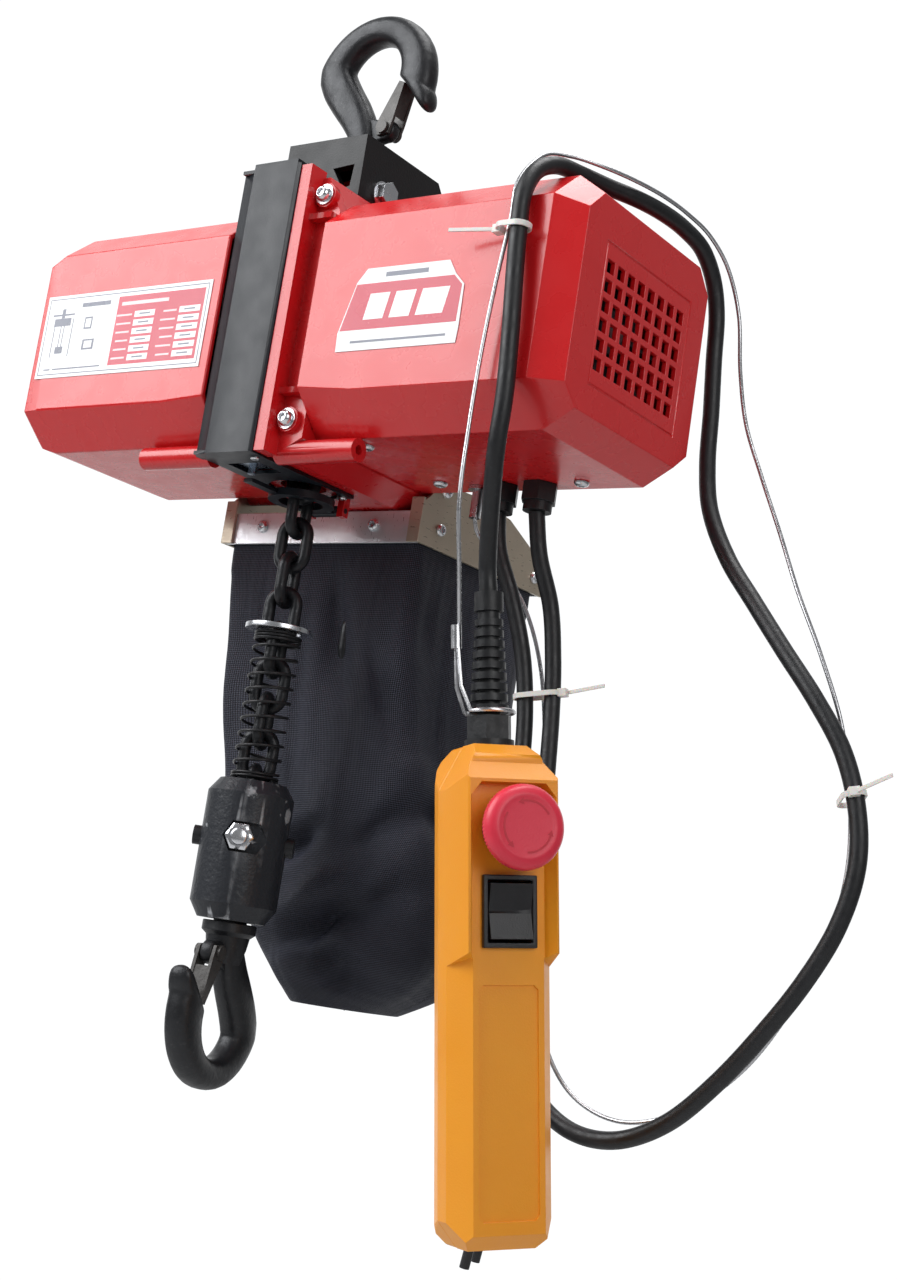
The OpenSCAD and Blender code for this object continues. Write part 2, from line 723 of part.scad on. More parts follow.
module brake_disc() {
  color("#6b5a46") ring_x(157.7, 161.5, motor_at, 31, 6.02);
}

module fan() {
  color("#303236") {
    ring_x(165, 168, motor_at, 42, 6.02);
    ring_x(168, 178, motor_at, 11, 6.02);
    for (k = [0 : 8]) translate([167.9, motor_at[0], motor_at[1]]) rotate([40 * k, 0, 0])
      translate([0, 10, -0.9]) cube([11, 31, 1.8]);
  }
}

module brake_coil() {
  color("#b87333") ring_x(143.6, 152.8, motor_at, 34, 13);
}

module brake_armature() {
  color("gray") ring_x(153.5, 157.6, motor_at, 33, 13);
}

module capacitor() {
  color("whitesmoke") {
    rod_x(-120, -48, [-36, -160], 19);
    rod_x(-48, -44, [-36, -160], 15);
    translate([-44, -42, -164]) cube([10, 2, 8]);
    translate([-44, -32, -164]) cube([10, 2, 8]);
  }
}

module control_board() {
  color("darkgreen") {
    translate([-125, 12, -232]) cube([86, 1.6, 96]);
    for (z = [-228, -190, -152]) translate([-46, 2, z]) cube([9, 10.1, 8]);
  }
}

module contactors() {
  color("#2f2f33") for (z = [-226, -186]) {
    translate([-118, 13.7, z]) cube([46, 34, 34]);
    translate([-112, 47.6, z + 6]) cube([34, 6, 22]);
  }
}

// ---------- hook block ----------

module spring_washer() {
  color("gainsboro") translate([chain_x, 0, washer_z]) difference() {
    cylinder(h = 2.6, r = 18);
    translate([0, 0, -1]) cylinder(h = 5, r = 11.2);
  }
}

spring_r = 11.9;
spring_wire = 1.6;

module limit_spring() {
  low = block_top + spring_wire / 2 + 0.1;
  high = washer_z - spring_wire / 2 - 0.1;
  steps = 12;
  count = spring_turns * steps;
  // Closed coils at both ends, open coils between them
  route = [for (i = [0 : count]) let (u = i / count, a = 360 * i / steps,
      v = u < 0.14 ? u * 0.3 : (u > 0.8 ? 1 - (1 - u) * 0.3 : 0.042 + (u - 0.14) * 1.3606))
    [chain_x + spring_r * cos(a), spring_r * sin(a), low + (high - low) * min(v, 1)]];
  color("#2a2a2a") swept_tube(route, spring_wire / 2, 6);
}

// Placement across the block: +X of the child runs along the chain bolt
module across_block(z) {
  translate([chain_x, 0, z]) rotate([0, 0, block_turn - 90]) children();
}

nut_seat = 17.6;

// Barrel that holds the chain above and the hook's nut below
module block_body() {
  difference() {
    translate([chain_x, 0, 0]) rotate_extrude($fn = 72) polygon([[0, block_bottom],
      [17.5, block_bottom], [block_r, block_bottom + 8], [block_r, block_top - 7],
      [17.5, block_top], [0, block_top]]);
    translate([chain_x, 0, -455.4]) cylinder(h = 60, r = 11.3);
    translate([chain_x, 0, -476]) cylinder(h = 18, r = 13.2);
    translate([chain_x, 0, block_bottom - 1]) cylinder(h = 14, r = shank_r + gap);
    across_block(pin_z) rotate([0, 90, 0]) cylinder(h = 60, r = 4.05, center = true);
    across_block(pin_z) translate([nut_seat, 0, 0]) rotate([90, 0, 90]) linear_extrude(8)
      polygon([[-9, 0], [-4.5, 7.8], [9.5, 7.8], [14, 0], [9.5, -7.8], [-4.5, -7.8]]);
    across_block(pin_z) translate([-27, 0, 0]) rotate([0, 90, 0]) cylinder(h = 8, r = 7.5);
    for (s = [-1, 1]) across_block(pin_z - 1) rotate([s * 90, 0, 0]) {
      translate([0, 0, 10]) cylinder(h = 16, r = 3.05);
      translate([0, 0, 19.6]) cylinder(h = 8, r = 5.3);
    }
  }
}

// Half of the barrel on one side of the plane through its axis and the chain bolt
module block_half(side) {
  intersection() {
    block_body();
    across_block(-450) translate([-40, side > 0 ? gap / 2 : -50 - gap / 2, -60])
      cube([80, 50, 120]);
  }
}

module block_front_half() {
  color("#3c3f44") block_half(-1);
}

module block_rear_half() {
  color("#3c3f44") block_half(1);
}

module block_bolt() {
  color("silver") across_block(pin_z) rotate([0, 90, 0]) {
    translate([0, 0, -20]) cylinder(h = nut_seat + 28, r = 4);
    translate([0, 0, nut_seat + gap]) hex_prism(13, 6.4);
    translate([0, 0, -25]) cylinder(h = 5.8, r = 6.6);
  }
}

module block_side_screws() {
  color("#333333") for (s = [-1, 1]) across_block(pin_z - 1) rotate([s * 90, 0, 0]) {
    translate([0, 0, 12.5]) cylinder(h = 8, r = 3);
    translate([0, 0, 19.8]) cylinder(h = 6.4, r = 5);
  }
}

// ---------- pendant ----------

// The pendant's own frame: origin at its top centre, front towards -Y
module pendant_place() {
  translate(pendant_top) rotate(pendant_tilt) rotate([0, 0, pendant_yaw]) children();
}

// Front view outline of the housing, moved in by an inset
module pendant_outline() {
  w = pendant_w / 2;
  polygon([[-13, 0], [13, 0], [w, -21], [w, 12 - pendant_l], [16, -pendant_l],
    [-16, -pendant_l], [-w, 12 - pendant_l], [-w, -21]]);
}

module slab_y(y, thick) {
  translate([0, y + thick, 0]) rotate([90, 0, 0]) linear_extrude(thick) children();
}

estop_z = -39;
rocker_z = -75;
floor_y = -21;
crest_y = -28;
side_y = -9.5;
face_x = 17;

// Solid cut to a side view (Y, Z) and to a plan view (X, Y)
module side_cut(points) {
  translate([-40, 0, 0]) rotate([90, 0, 90]) linear_extrude(80) polygon(points);
}

module plan_cut(points) {
  translate([0, 0, -240]) linear_extrude(250) polygon(points);
}

module pendant_front() {
  w = pendant_w / 2;
  color("orange") pendant_place() difference() {
    union() {
      intersection() {
        slab_y(floor_y, -floor_y - gap) pendant_outline();
        side_cut([[0, 1], [-11, 1], [floor_y, -5], [floor_y, 7 - pendant_l],
          [-11, -pendant_l - 1], [0, -pendant_l - 1]]);
        plan_cut([[-w, 0], [-w, side_y], [-face_x, floor_y], [face_x, floor_y], [w, side_y],
          [w, 0]]);
      }
      switch_guard();
    }
    slab_y(floor_y - 1, 2) polygon([[-14.3, -109], [-12.3, -107], [12.3, -107], [14.3, -109],
      [14.3, -205], [12.3, -207.5], [-12.3, -207.5], [-14.3, -205]]);
    translate([-12, floor_y - 1, rocker_z - 15]) cube([24, 19, 30]);
    translate([0, -1, estop_z]) rotate([90, 0, 0]) cylinder(h = 30, r = 11.3);
    slab_y(-18, 18.2) pendant_inside();
  }
}

// Raised rim round the two switches, open at its lower end
module switch_guard() {
  w = pendant_w / 2;
  difference() {
    intersection() {
      slab_y(crest_y, side_y - crest_y) pendant_outline();
      side_cut([[side_y, 1], [-12, 1], [-14, -1], [crest_y, -17], [crest_y, -93],
        [side_y, -99]]);
      plan_cut([[-w, side_y], [-21.8, crest_y + 0.8], [-21, crest_y], [21, crest_y],
        [21.8, crest_y + 0.8], [w, side_y]]);
    }
    intersection() {
      slab_y(-40, 40 + floor_y) polygon([[-25, -120], [-25, -30], [-15.5, -18.5],
        [15.5, -18.5], [25, -30], [25, -120]]);
      plan_cut([[-17.5, floor_y], [-20.6, crest_y], [-20.6, -40], [20.6, -40],
        [20.6, crest_y], [17.5, floor_y]]);
    }
  }
}

module pendant_inside() {
  w = pendant_w / 2 - 9;
  polygon([[-12, -6], [12, -6], [w, -20], [w, 20 - pendant_l], [11, 9 - pendant_l],
    [-11, 9 - pendant_l], [-w, 20 - pendant_l], [-w, -20]]);
}

module pendant_rear() {
  w = pendant_w / 2;
  color("orange") pendant_place() difference() {
    intersection() {
      slab_y(0, 20) pendant_outline();
      side_cut([[0, 1], [12, 1], [20, -5], [20, 7 - pendant_l], [12, -pendant_l - 1],
        [0, -pendant_l - 1]]);
      plan_cut([[-w, 0], [3 - w, 12], [-18, 20], [18, 20], [w - 3, 12], [w, 0]]);
    }
    slab_y(-1, 17) pendant_inside();
    for (x = [-14, 14], z = [-24, -196]) translate([x, 17, z]) rotate([-90, 0, 0])
      cylinder(h = 8, r = 3.4);
  }
}

module contact_block() {
  color("#202020") pendant_place() {
    translate([-10, 2, rocker_z - 14]) cube([20, 12, 28]);
    translate([-11, 2, estop_z - 11]) cube([22, 12, 22]);
    translate([-8, 4, -150]) cube([16, 9, 30]);
  }
}

module estop_stem() {
  color("#7a1512") pendant_place() translate([0, -3, estop_z]) rotate([90, 0, 0]) {
    cylinder(h = 28.9, r = 8);
    cylinder(h = 34, r = 5);
  }
}

module estop_head() {
  color("crimson") pendant_place() translate([0, -32.6, estop_z]) rotate([90, 0, 0])
    rotate_extrude($fn = 72) polygon([[0, 5.5], [5.05, 5.5], [5.05, 0], [15, 0],
      [estop_d / 2, 3], [estop_d / 2, 7], [estop_d / 2 - 2.5, 9.6], [14, 10.4], [0, 10.4]]);
}

module switch_bezels() {
  color("black") pendant_place() {
    translate([0, 0, rocker_z]) difference() {
      translate([-13, floor_y - 2.6, -16]) cube([26, 2.5, 32]);
      translate([-10.6, floor_y - 5, -13.6]) cube([21.2, 10, 27.2]);
    }
    translate([0, floor_y - 0.05, estop_z]) rotate([90, 0, 0]) difference() {
      cylinder(h = 4, r = 12.6);
      translate([0, 0, -1]) cylinder(h = 8, r = 8.05);
    }
  }
}

module rocker() {
  color("#151515") pendant_place() translate([0, 0, rocker_z]) {
    rotate([90, 0, 90]) translate([0, 0, -10.2]) linear_extrude(20.4)
      polygon([[floor_y - 4.4, -12.2], [floor_y - 2, -1], [floor_y - 2, 1],
        [floor_y - 4.4, 12.2], [floor_y + 1, 12.4], [floor_y + 6, 8], [floor_y + 8, 0],
        [floor_y + 6, -8], [floor_y + 1, -12.4]]);
    translate([-10.5, floor_y, 0]) rotate([0, 90, 0]) cylinder(h = 21, r = 1.3);
  }
}

// Gland nut and ribbed boot on top of the pendant
module pendant_gland() {
  color("#303236") pendant_place() {
    translate([0, 0, gap]) cylinder(h = 3, r = 11.5);
    translate([0, 0, 3]) hex_prism(19, gland_l - 3);
    translate([0, 0, gland_l - 0.01]) cylinder(h = boot_l, r = 5.2);
    for (i = [0 : 8]) translate([0, 0, gland_l + 2 + i * 5]) cylinder(h = 3.2, r = 9 - 0.3 * i);
    translate([0, 0, gland_l + boot_l - 9]) cylinder(h = 9, r = 6.8);
  }
}

// ---------- cords ----------

module control_cable() {
  color("#202024") swept_tube(control_route, cable_d / 2, 10);
}

module power_cord() {
  color("#202024") swept_tube(power_route, cable_d / 2, 10);
}

module wire_rope() {
  color("silver") swept_tube(rope_route, rope_d / 2, 8);
}

// Cable glands on the underside of the motor cover
module cable_glands() {
  color("#202024") for (x = gland_x) translate([x, gland_y, -259.8]) {
    cylinder(h = 5, r = 7.5);
    translate([0, 0, 4.9]) hex_prism(17, 9.8);
    translate([0, 0, 14]) cylinder(h = 10, r = 6);
  }
}

// Moulded plug on the mains lead, pins down
module power_plug() {
  color("#1b1b1f") translate(plug_top) rotate(plug_tilt) {
    translate([0, 0, -20]) cylinder(h = 20, r1 = 9, r2 = 5.5);
    translate([0, 0, -24]) cylinder(h = 4.1, r1 = 16, r2 = 9);
    translate([0, 0, -42]) cylinder(h = 18.1, r1 = 17, r2 = 16);
    for (x = [-9.5, 9.5]) translate([x, 0, -61]) cylinder(h = 19.1, r = 2.4);
  }
}

// Rope eye round the pendant's boot, its ferrule, and the anchor stud on the hoist
module rope_fittings() {
  eye = [for (a = [200 : 20 : 520]) [11.3 * cos(a), 11.3 * sin(a), 16.2]];
  color("silver") {
    pendant_place() {
      swept_tube(concat([[-14.2, 2.6, 46], [-13.6, 0.5, 28]], eye,
        [[-13.6, 6, 28], [-14.2, 5.2, 46]]), rope_d / 2, 8);
      translate([-14.6, 4, 45.5]) cylinder(h = 11, r = 2.5);
    }
    translate(rope_anchor) {
      cylinder(h = 15, r = 3);
      translate([0, 0, 14.9]) cylinder(h = 2, r = 5.5);
    }
  }
}

// One tie: a band round two lines side by side, with its head and tail
module cable_tie(at, turn, span, tail_angle) {
  translate(at) rotate(turn) {
    linear_extrude(2.6, center = true) difference() {
      tie_outline(span, 5.9);
      tie_outline(span, 5);
    }
    translate([span / 2 + 6, -1, 0]) cube([4.4, 5, 4], center = true);
    translate([span / 2 + 7.4, -0.6, -0.9]) rotate([0, 0, tail_angle]) cube([24, 1, 1.8]);
  }
}

module tie_outline(span, r) {
  square([span, 2 * r], center = true);
  for (x = [-span / 2, span / 2]) translate([x, 0]) circle(r);
}

module cable_ties() {
  color("ivory") {
    cable_tie([162.8, -72.4, -154], [0, 0, 180], 6.4, 12);
    cable_tie([131, 51.1, -352], [0, -10, 13], 15, -20);
    cable_tie([305.4, 55, -392], [14.5, -10, -57], 12, 30);
  }
}

top_hook();
top_hook_nut();
top_latch();
suspension_bracket();
bracket_bolts();
main_frame();
left_cover();
right_cover();
case_screws();
front_strip();
limit_plate();
limit_switch();
labels();
bag_cross_plates();
bag_side_plates();
bag_screws();
chain_bag();
slack_chain();
load_sheave();
output_gear();
idler_gear();
clutch_shaft();
clutch_gear();
motor_end_plates();
bearings();
stator();
windings();
rotor();
brake_disc();
fan();
brake_coil();
brake_armature();
capacitor();
control_board();
contactors();
load_chain();
spring_washer();
limit_spring();
block_front_half();
block_rear_half();
block_bolt();
block_side_screws();
lower_hook();
lower_hook_nut();
lower_latch();
pendant_front();
pendant_rear();
contact_block();
estop_stem();
estop_head();
switch_bezels();
rocker();
pendant_gland();
control_cable();
wire_rope();
power_cord();
cable_glands();
power_plug();
rope_fittings();
cable_ties();
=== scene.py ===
"""Electric chain hoist: the looks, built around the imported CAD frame. Metres, +Z up."""

import json
import math
import random

import bmesh
import bpy
import numpy as np
from mathutils import Euler, Matrix, Vector


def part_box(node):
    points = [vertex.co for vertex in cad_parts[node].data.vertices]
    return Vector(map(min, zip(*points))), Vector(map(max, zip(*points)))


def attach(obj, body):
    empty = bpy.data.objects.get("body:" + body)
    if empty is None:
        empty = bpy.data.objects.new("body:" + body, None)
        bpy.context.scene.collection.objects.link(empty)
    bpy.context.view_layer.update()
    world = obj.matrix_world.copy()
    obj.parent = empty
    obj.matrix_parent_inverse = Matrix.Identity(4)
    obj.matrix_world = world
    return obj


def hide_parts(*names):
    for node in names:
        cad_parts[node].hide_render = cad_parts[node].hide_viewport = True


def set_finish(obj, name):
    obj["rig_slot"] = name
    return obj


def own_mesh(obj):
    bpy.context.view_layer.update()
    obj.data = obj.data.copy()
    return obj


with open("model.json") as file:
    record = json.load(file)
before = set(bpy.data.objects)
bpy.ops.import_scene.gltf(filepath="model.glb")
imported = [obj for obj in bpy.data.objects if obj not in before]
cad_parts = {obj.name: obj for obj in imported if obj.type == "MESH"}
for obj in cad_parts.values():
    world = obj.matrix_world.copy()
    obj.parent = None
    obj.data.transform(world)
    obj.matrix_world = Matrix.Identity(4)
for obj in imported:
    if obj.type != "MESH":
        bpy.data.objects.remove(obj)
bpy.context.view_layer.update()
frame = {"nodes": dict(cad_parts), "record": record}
MM = 0.001
FULL_TURN = 2 * math.pi
BODY_OF = {n: b for b, ns in frame["record"]["behaviour"]["bodies"].items() for n in ns}
SLOT_OF = {s["node"]: s["material_slot"] for s in frame["record"]["subparts"]}
DRAWN = random.Random(7)


# ---------- camera ----------

def make_camera():
    right = Vector((0.8076, 0.5703, 0.1500))
    down = Vector((0.0218, 0.2253, -0.9740))
    forward = Vector((-0.5893, 0.7899, 0.1695))
    data = bpy.data.cameras.new("camera")
    data.sensor_width = 36.0
    data.lens = 56.2
    data.clip_start = 0.02
    cam = bpy.data.objects.new("camera", data)
    turn = Matrix((right, -down, -forward)).transposed().to_4x4()
    cam.matrix_world = Matrix.Translation((0.6895, -0.7793, -0.5027)) @ turn
    bpy.context.scene.collection.objects.link(cam)
    bpy.context.scene.camera = cam


make_camera()


# ---------- small helpers ----------

def add_object(name, mesh, body, slot, replaces=()):
    obj = bpy.data.objects.new(name, mesh)
    bpy.context.scene.collection.objects.link(obj)
    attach(obj, body)
    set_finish(obj, slot)
    if replaces:
        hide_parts(*replaces)
    return obj


def new_mesh(name, verts, faces, smooth=True):
    mesh = bpy.data.meshes.new(name)
    mesh.from_pydata([tuple(v) for v in verts], [], faces)
    mesh.validate()
    mesh.update()
    if smooth:
        mesh.shade_smooth()
    return mesh


def soften(mesh, degrees=35):
    """Smooth shading that stays sharp over edges steeper than the given angle."""
    mesh.shade_smooth()
    mesh.set_sharp_from_angle(angle=math.radians(degrees))
    return mesh


def spline_points(points, spacing):
    """Catmull-Rom curve through the points, resampled at about the given spacing."""
    p = [Vector(q) for q in points]
    p = [2 * p[0] - p[1]] + p + [2 * p[-1] - p[-2]]
    dense = []
    for a, b, c, d in zip(p, p[1:], p[2:], p[3:]):
        for k in range(16):
            t = k / 16
            dense.append(0.5 * (2 * b + (c - a) * t + (2 * a - 5 * b + 4 * c - d) * t * t
                                + (3 * b - a - 3 * c + d) * t ** 3))
    dense.append(p[-2])
    run = np.concatenate([[0], np.cumsum([(v - u).length for u, v in zip(dense, dense[1:])])])
    count = max(2, int(round(run[-1] / spacing)))
    xyz = np.array([tuple(v) for v in dense])
    at = np.linspace(0, run[-1], count + 1)
    return [Vector(row) for row in np.stack([np.interp(at, run, xyz[:, i]) for i in range(3)], 1)]


def strip_faces(first, sides, strips, wrap=False):
    """Quads between rings of the same number of points; the last may join the first."""
    faces = []
    for i in range(strips):
        a = first + i * sides
        b = first if wrap and i == strips - 1 else a + sides
        faces += [(a + k, a + (k + 1) % sides, b + (k + 1) % sides, b + k) for k in range(sides)]
    return faces


def end_caps(first, sides, strips):
    """The two faces that close a stack of rings."""
    last = first + strips * sides
    return [tuple(first + k for k in reversed(range(sides))), tuple(last + k for k in range(sides))]


def carried_frames(points):
    """Tangent, normal and binormal at each point, carried along without twist."""
    tangents = [(points[min(i + 1, len(points) - 1)] - points[max(i - 1, 0)]).normalized()
                for i in range(len(points))]
    normal = Vector((1, 0.2, 0.1))
    frames = []
    for t in tangents:
        normal = (normal - t * normal.dot(t)).normalized()
        frames.append((t, normal, t.cross(normal)))
    return frames


def tube(name, points, radius_at, sides):
    """Mesh tube along the points; radius_at(index, angle) gives each vertex's radius."""
    verts = []
    for i, (p, (_, n, b)) in enumerate(zip(points, carried_frames(points))):
        for k in range(sides):
            a = FULL_TURN * k / sides
            verts.append(p + radius_at(i, a) * (math.cos(a) * n + math.sin(a) * b))
    strips = len(points) - 1
    faces = strip_faces(0, sides, strips) + end_caps(0, sides, strips)
    return soften(new_mesh(name, verts, faces), 50)


def cad_copy(node):
    """A bmesh of a CAD node with its flat faces joined up, ready for rounding."""
    bm = bmesh.new()
    bm.from_mesh(frame["nodes"][node].data)
    bmesh.ops.remove_doubles(bm, verts=bm.verts, dist=2e-6)
    bmesh.ops.dissolve_limit(bm, angle_limit=math.radians(0.6), verts=bm.verts, edges=bm.edges)
    return bm


def round_edges(bm, width, segments=2, min_angle=25, min_length=0.0, max_length=9.0):
    """Bevels the edges whose angle, in degrees, and length, in metres, are in range."""
    edges = [e for e in bm.edges if e.is_manifold and min_length <= e.calc_length() < max_length
             and e.calc_face_angle(0) > math.radians(min_angle)]
    if edges:
        bmesh.ops.bevel(bm, geom=edges, offset=width, segments=segments, profile=0.5,
                        affect="EDGES", clamp_overlap=True)


def edge_step(width, segments, shortest, longest=1000):
    """round_edges' arguments from measures in mm."""
    return dict(width=width * MM, segments=segments, min_length=shortest * MM,
                max_length=longest * MM)


def mesh_from(bm, name, material):
    """Turns a bmesh into a mesh of one material."""
    mesh = bpy.data.meshes.new(name)
    bm.to_mesh(mesh)
    bm.free()
    mesh.materials.append(material)
    return mesh


def refined(node, steps, material, smooth_angle=32):
    """The CAD node's own shape with rounded edges; steps are round_edges' arguments."""
    bm = cad_copy(node)
    for step in steps:
        round_edges(bm, **step)
    mesh = soften(mesh_from(bm, node + "_mesh", material), smooth_angle)
    obj = add_object(node + "_piece", mesh, BODY_OF[node], SLOT_OF[node], (node,))
    flat = obj.modifiers.new("flat_faces", "WEIGHTED_NORMAL")
    flat.keep_sharp = True
    flat.weight = 80
    return obj


# ---------- cords: routes in metres, as in the CAD ----------

CONTROL_ROUTE = [(158, -42, -322), (157, -45, -308), (162, -56, -285), (168, -67, -260),
                 (171, -71, -235), (170, -72.5, -205), (168, -73, -180), (166, -72.7, -157),
                 (165, -72, -138), (165, -64.5, -123), (166, -50, -114), (169, -34, -112),
                 (175, -17, -112), (182, 0, -112), (186, 18, -112), (188, 36, -113),
                 (190, 53, -117.5), (191, 66, -129), (192, 72.5, -146), (193, 74, -170),
                 (196, 73, -198), (199, 71, -226), (207, 66, -252), (223, 61, -278),
                 (243, 56, -301), (264, 52, -325), (284, 50, -348), (301, 50, -372),
                 (311, 50, -398), (314, 50, -424), (308, 50, -451), (295, 50, -477),
                 (278, 50, -502), (258, 50, -527), (236, 50, -548), (211, 50, -560),
                 (186, 50, -560), (164, 50, -548), (149, 50, -527), (141, 50, -500),
                 (137, 50, -472), (134, 50, -444), (131, 50, -416), (128, 50, -388),
                 (125, 50, -360), (120, 48, -332), (112, 43, -304), (103, 38, -280),
                 (100, 36, -260)]
POWER_ROUTE = [(124, 36, -260), (127, 40, -282), (132, 49, -306), (136, 52, -332),
               (139, 53, -358), (142, 52, -386), (145, 50, -414), (148, 47, -444),
               (151, 43, -474), (154, 38, -505), (158, 33, -536), (162, 29, -563)]
ROPE_ROUTE = [(150, -50, -339), (152.5, -60, -315), (154, -70, -285), (154.5, -72, -250),
              (155, -72, -215), (157, -72, -182), (160, -72, -150), (158, -68, -129),
              (160, -54, -110), (167, -41, -105.5), (177, -27, -106), (184, -9, -106),
              (188, 12, -105.5), (190, 34, -106), (194, 52, -111), (199, 66, -124),
              (203, 76, -146), (208, 76, -176), (218, 71, -206), (233, 66, -235),
              (249, 62, -265), (264, 59, -295), (280, 58, -325), (294, 59, -357),
              (302, 60, -390), (305, 60, -424), (299, 60, -458), (284, 60, -492),
              (264, 60, -521), (236, 60, -543), (205, 60, -552), (176, 60, -543),
              (156, 60, -518), (146, 61, -484), (141, 61, -448), (137, 61, -410),
              (132, 61, -372), (124, 60, -336), (112, 56, -306), (97, 48, -284),
              (86, 41, -270), (84, 38, -262)]
CABLE_D = 8.5 * MM
ROPE_D = 2.2 * MM


def metres(route):
    return [Vector(p) * MM for p in route]


def cable_piece(name, route):
    points = spline_points(metres(route), 2.5 * MM)
    mesh = tube(name, points, lambda i, a: CABLE_D / 2, 20)
    obj = add_object(name + "_piece", mesh, "hoist", SLOT_OF[name], (name,))
    return obj, points


def rope_piece():
    """Wire rope: six strands twisted round a core, as a lobed twisted tube."""
    step, lay, strands, groove = 0.9 * MM, 14 * MM, 6, 0.14
    points = spline_points(metres(ROPE_ROUTE), step)

    def radius_at(i, a):
        twist = FULL_TURN * i * step / lay
        return ROPE_D / 2 * (1 - groove + groove * abs(math.cos(strands * (a - twist) / 2)))

    mesh = tube("wire_rope", points, radius_at, 24)
    return add_object("wire_rope_piece", mesh, "hoist", SLOT_OF["wire_rope"], ("wire_rope",)), points


control_cable, control_points = cable_piece("control_cable", CONTROL_ROUTE)
power_cord, power_points = cable_piece("power_cord", POWER_ROUTE)
wire_rope, rope_points = rope_piece()


# ---------- materials ----------

class Finish:
    """Builds one node material step by step on object coordinates."""

    def __init__(self, name, color, rough, metal=0.0, coat=0.0, coords="Object"):
        self.mat = bpy.data.materials.new(name)
        self.mat.use_nodes = True
        self.mat.diffuse_color = (*color, 1)
        self.tree = self.mat.node_tree
        self.bsdf = self.tree.nodes["Principled BSDF"]
        self.coords = self.tree.nodes.new("ShaderNodeTexCoord").outputs[coords]
        self.set(Metallic=metal, Roughness=rough, Coat_Weight=coat, Coat_Roughness=0.12)
        self.color = self.rgb(color)
        self.rough = None
        self.base_rough = rough
        self.height = None

    def set(self, **values):
        self.feed(self.bsdf, **values)

    def plug(self, slot, value):
        """Gives an input a plain value or another node's output."""
        if isinstance(value, bpy.types.NodeSocket):
            self.tree.links.new(value, slot)
        else:
            slot.default_value = value

    def feed(self, node, **values):
        for key, value in values.items():
            self.plug(node.inputs[key.replace("_", " ")], value)

    def add(self, kind, **values):
        node = self.tree.nodes.new("ShaderNode" + kind)
        self.feed(node, **values)
        return node

    def rgb(self, color):
        node = self.add("RGB")
        node.outputs[0].default_value = (*color, 1)
        return node.outputs[0]

    def math(self, kind, a, b, clamp=False):
        node = self.add("Math")
        node.operation = kind
        node.use_clamp = clamp
        for slot, value in zip(node.inputs, (a, b)):
            self.plug(slot, value)
        return node.outputs[0]

    def noise(self, scale, detail, stretch=None):
        source = self.coords
        if stretch:
            source = self.add("Mapping", Scale=stretch, Vector=source).outputs[0]
        return self.add("TexNoise", Scale=scale, Detail=detail, Vector=source).outputs["Fac"]

    def ramp(self, value, low, high):
        """0 below low, 1 above high, straight between."""
        return self.add("MapRange", From_Min=low, From_Max=high, Value=value).outputs[0]

    def blend(self, mask, color):
        """Paints another colour over the base where the mask is 1."""
        node = self.add("Mix")
        node.data_type = "RGBA"
        self.feed(node, Factor=mask, A=self.color, B=self.rgb(color))
        self.color = node.outputs["Result"]

    def tone(self, scale, amount, color):
        """Slow colour variation between the base and a second colour."""
        self.specks(scale, 4.0, 0.35, 0.7, amount, color)

    def specks(self, scale, detail, low, high, amount, color):
        """Blends a colour in where the noise rises from low to high."""
        mask = self.ramp(self.noise(scale, detail), low, high)
        self.blend(self.math("MULTIPLY", mask, amount), color)

    def rough_noise(self, scale, spread, stretch=None):
        value = self.math("MULTIPLY", self.ramp(self.noise(scale, 3.0, stretch), 0.3, 0.7), spread)
        self.rough = self.math("ADD", value, self.base_rough - spread / 2)

    def rough_mask(self, mask, amount):
        """Shifts a roughness that rough_noise has set, where the mask is 1."""
        value = self.math("MULTIPLY", mask, amount)
        self.rough = self.math("ADD", self.rough, value)

    def bumps(self, height, strength, distance):
        """Adds a height, in metres at full strength, to the surface."""
        scaled = self.math("MULTIPLY", height, strength)
        self.height = scaled if self.height is None else self.math("ADD", self.height, scaled)
        self.distance = distance

    def edge_wear(self, color, low, high, grain, metal):
        """Rubbed edges, bare metal: convex places, broken up by noise."""
        edges = self.ramp(self.add("NewGeometry").outputs["Pointiness"], low, high)
        patches = self.ramp(self.noise(grain, 4.0), 0.40, 0.58)
        mask = self.math("MULTIPLY", edges, patches, clamp=True)
        self.blend(mask, color)
        self.set(Metallic=self.math("MULTIPLY", mask, metal))

    def done(self):
        self.set(Base_Color=self.color)
        if self.rough is not None:
            self.set(Roughness=self.rough)
        if self.height is not None:
            bump = self.add("Bump", Strength=1.0, Distance=self.distance, Height=self.height)
            self.set(Normal=bump.outputs[0])
        return self.mat


def enamel(name, color, dark):
    """Glossy sprayed enamel with faint orange peel and dust."""
    f = Finish(name, color, 0.28, coat=0.30)
    f.tone(9.0, 0.35, dark)
    f.rough_noise(70.0, 0.10)
    f.bumps(f.noise(520.0, 2.0), 0.35, 0.00008)
    return f.done()


def forged(name, color, rubbed):
    """Dark forging scale, slightly oily, with pits and rubbed edges."""
    f = Finish(name, color, 0.40, metal=0.35)
    f.tone(45.0, 0.5, tuple(c * 0.6 for c in color))
    f.specks(420.0, 5.0, 0.60, 0.76, 0.22, rubbed)
    f.rough_noise(120.0, 0.16)
    f.bumps(f.noise(300.0, 4.0), 1.0, 0.00022)
    f.bumps(f.noise(900.0, 2.0), 0.3, 0.00022)
    return f.done()


def plated(name, color, rough=0.28, spangle=0.25, stretch=None, metal=1.0):
    """Zinc plate or bare steel: fine grain, small roughness patches."""
    f = Finish(name, color, rough, metal=metal)
    f.tone(90.0, spangle, tuple(c * 0.62 for c in color))
    f.rough_noise(160.0, 0.16, stretch)
    f.bumps(f.noise(1400.0, 2.0, stretch), 0.35, 0.00006)
    return f.done()


